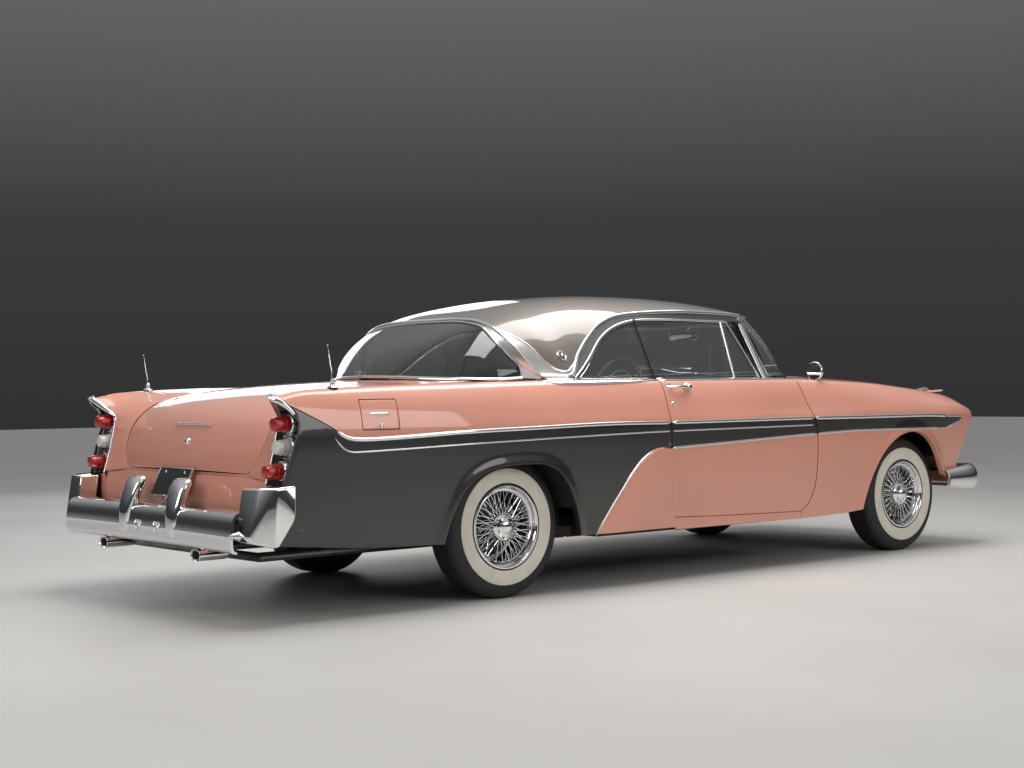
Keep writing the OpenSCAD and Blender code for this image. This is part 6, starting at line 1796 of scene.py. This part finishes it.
mr = Bag()
superloft(mr, [(2160, 0, 1306, 6, 60), (2160, 0, 1310, 12, 106), (2158, 0, 1332, 15, 116), (2156, 0, 1354, 12, 106), (2156, 0, 1358, 6, 60)], 32, 3.2)
mr.tube([(2166, 0, 1345), (2196, 0, 1372), (2214, 0, 1392)], [5, 5, 12], 12)
mr.make("inner_mirror", [CHROME], "body", slot="chrome")
vs = Bag()
for y0, y1 in ((70, 430), (-430, -70)):
    vs.hull([(x, y, z + d) for x, z in ((2052, 1402), (2196, 1386)) for y in (y0, y1) for d in (-7, 7)])
vs.make("sun_visors", [VINYL_LIGHT], "body", bevel=5, seg=3, slot="trim_cloth")
wp = Bag()
for s in (-1, 1):
    p0 = Vector((2590, s * 180 + 0, top_z(2590, 180) + 14))
    wp.lathe([(18, -14), (18, 0), (12, 6), (0.01, 8)], p0, "z", 20)
    a = Vector(edge_pt(SHIELD, 0.30, False))
    b = Vector(edge_pt(SHIELD, 0.78, False))
    a.y, b.y = a.y * s, b.y * s
    wp.tube([p0 + Vector((0, 0, 4)), p0.lerp(b, 0.4) + Vector((4, 0, 16)), p0.lerp(b, 0.62) + Vector((-14, 0, 44))], [6, 4.5, 3], 10)
    wp.tube([p0.lerp(b, 0.2) + Vector((-18, 0, 42)), p0.lerp(b, 0.95) + Vector((-26, 0, 52))], [3.5, 3.5], 8)
wp.make("wipers", [CHROME], "body", slot="chrome")
cp = Bag()
cp.grid([[[x, y, 322 + (72 * math.exp(-(y / 130) ** 2)) ] for y in frange(-640, 640, 60)] for x in frange(960, 2060, 24)])
cp.make("front_carpet", [CARPET], "body", out=(0, 0, 1), slot="trim_cloth")

# ---------------------------------------------------------------- materials on the CAD pieces that stay
def dress(node, mat):
    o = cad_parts.get(node)
    if o is None:
        return
    o.data.materials.clear()
    o.data.materials.append(mat)
for n_, m_ in {"chassis_frame": CHASSIS, "floor_pan": DARKIN, "firewall": DARKIN, "rear_wheel_housings": DARKIN, "front_wheel_aprons": DARKIN,
               "wheel_housings": DARKIN, "radiator": CHASSIS, "fuel_tank": CHASSIS, "rear_axle": CHASSIS, "front_suspension": CHASSIS,
               "steering_column": DASH, "steering_wheel": IVORY, "engine_block": CAST, "exhaust": PIPE, "steering_knuckle_left": STEEL,
               "steering_knuckle_right": STEEL, "quarter_trims": VINYL_LIGHT, "front_seat": CLOTH, "rear_seat": CLOTH, "dashboard": DASH,
               "grille": CHROME, "front_bumper": CHROME, "rear_bumper": CHROME, "headlights": CHROME, "tail_lights": RED, "antennas": CHROME,
               "fender_mirror": CHROME, "plate_holder": PLATE, "windshield_frame": CHROME, "rear_deck": PINK, "rear_valance": PINK,
               "fuel_door": PINK, "wheel_front_left": CHROME, "wheel_front_right": CHROME, "wheel_rear_left": CHROME, "wheel_rear_right": CHROME,
               "tyre_front_left": RUBBER, "tyre_front_right": RUBBER, "tyre_rear_left": RUBBER, "tyre_rear_right": RUBBER}.items():
    dress(n_, m_)

# ---------------------------------------------------------------- floor and light
def stage_and_light():
    m, nt, b = base_mat("studio_floor")
    n = noise(nt, 0.6, 4)
    r = ramp(nt, n.outputs["Fac"], [(0.3, (0.50, 0.49, 0.475)), (0.7, (0.56, 0.55, 0.535))])
    nt.links.new(r.outputs["Color"], b.inputs["Base Color"])
    b.inputs["Roughness"].default_value = 0.55
    me = bpy.data.meshes.new("studio_floor")
    s = 40.0
    me.from_pydata([(-s, -s, 0), (s, -s, 0), (s, s, 0), (-s, s, 0)], [], [(0, 1, 2, 3)])
    me.materials.append(m)
    o = bpy.data.objects.new("studio_floor", me)
    COLL.objects.link(o)
    w = bpy.data.worlds.new("studio")
    SCENE.world = w
    w.use_nodes = True
    bg = w.node_tree.nodes["Background"]
    wt = w.node_tree
    tc, sx = wt.nodes.new("ShaderNodeTexCoord"), wt.nodes.new("ShaderNodeSeparateXYZ")
    wt.links.new(tc.outputs["Generated"], sx.inputs[0])
    mp = wt.nodes.new("ShaderNodeMapRange")
    mp.inputs["From Min"].default_value, mp.inputs["From Max"].default_value = -1.0, 1.0
    wt.links.new(sx.outputs["Z"], mp.inputs["Value"])
    wr = ramp(wt, mp.outputs["Result"], [(0.0, (0.05, 0.05, 0.05)), (0.49, (0.06, 0.06, 0.062)), (0.555, (0.09, 0.092, 0.095)), (0.66, (0.34, 0.345, 0.35)), (0.80, (0.90, 0.90, 0.90)), (1.0, (1.0, 1.0, 0.99))])
    wt.links.new(wr.outputs["Color"], bg.inputs["Color"])
    bg.inputs["Strength"].default_value = 0.5
    def area(name, loc, to, size, power, col=(1, 1, 1), sy=None):
        d = bpy.data.lights.new(name, "AREA")
        d.energy, d.size, d.color = power, size, col
        if sy:
            d.shape, d.size_y = "RECTANGLE", sy
        q = bpy.data.objects.new(name, d)
        COLL.objects.link(q)
        q.location = loc
        q.rotation_euler = (Vector(to) - Vector(loc)).to_track_quat("-Z", "Y").to_euler()
    area("softbox_over", (0.2, -0.6, 5.4), (0, 0, 0.6), 7.5, 330, (1.0, 0.985, 0.96), 2.6)
    area("softbox_side", (1.0, -8.5, 3.6), (0.4, 0, 0.7), 7.0, 150, (1.0, 0.98, 0.95), 2.2)
    area("softbox_rear", (-8.6, -2.0, 3.4), (-2.4, 0, 0.7), 3.4, 110, (1.0, 0.985, 0.965), 3.0)
    area("softbox_far", (2.5, 8.0, 3.2), (0, 0, 0.8), 6.0, 90, (0.95, 0.97, 1.0), 2.4)
    SCENE.view_settings.view_transform = "Filmic" if "Filmic" in [i.identifier for i in bpy.types.ColorManagedViewSettings.bl_rna.properties["view_transform"].enum_items] else "Standard"
stage_and_light()
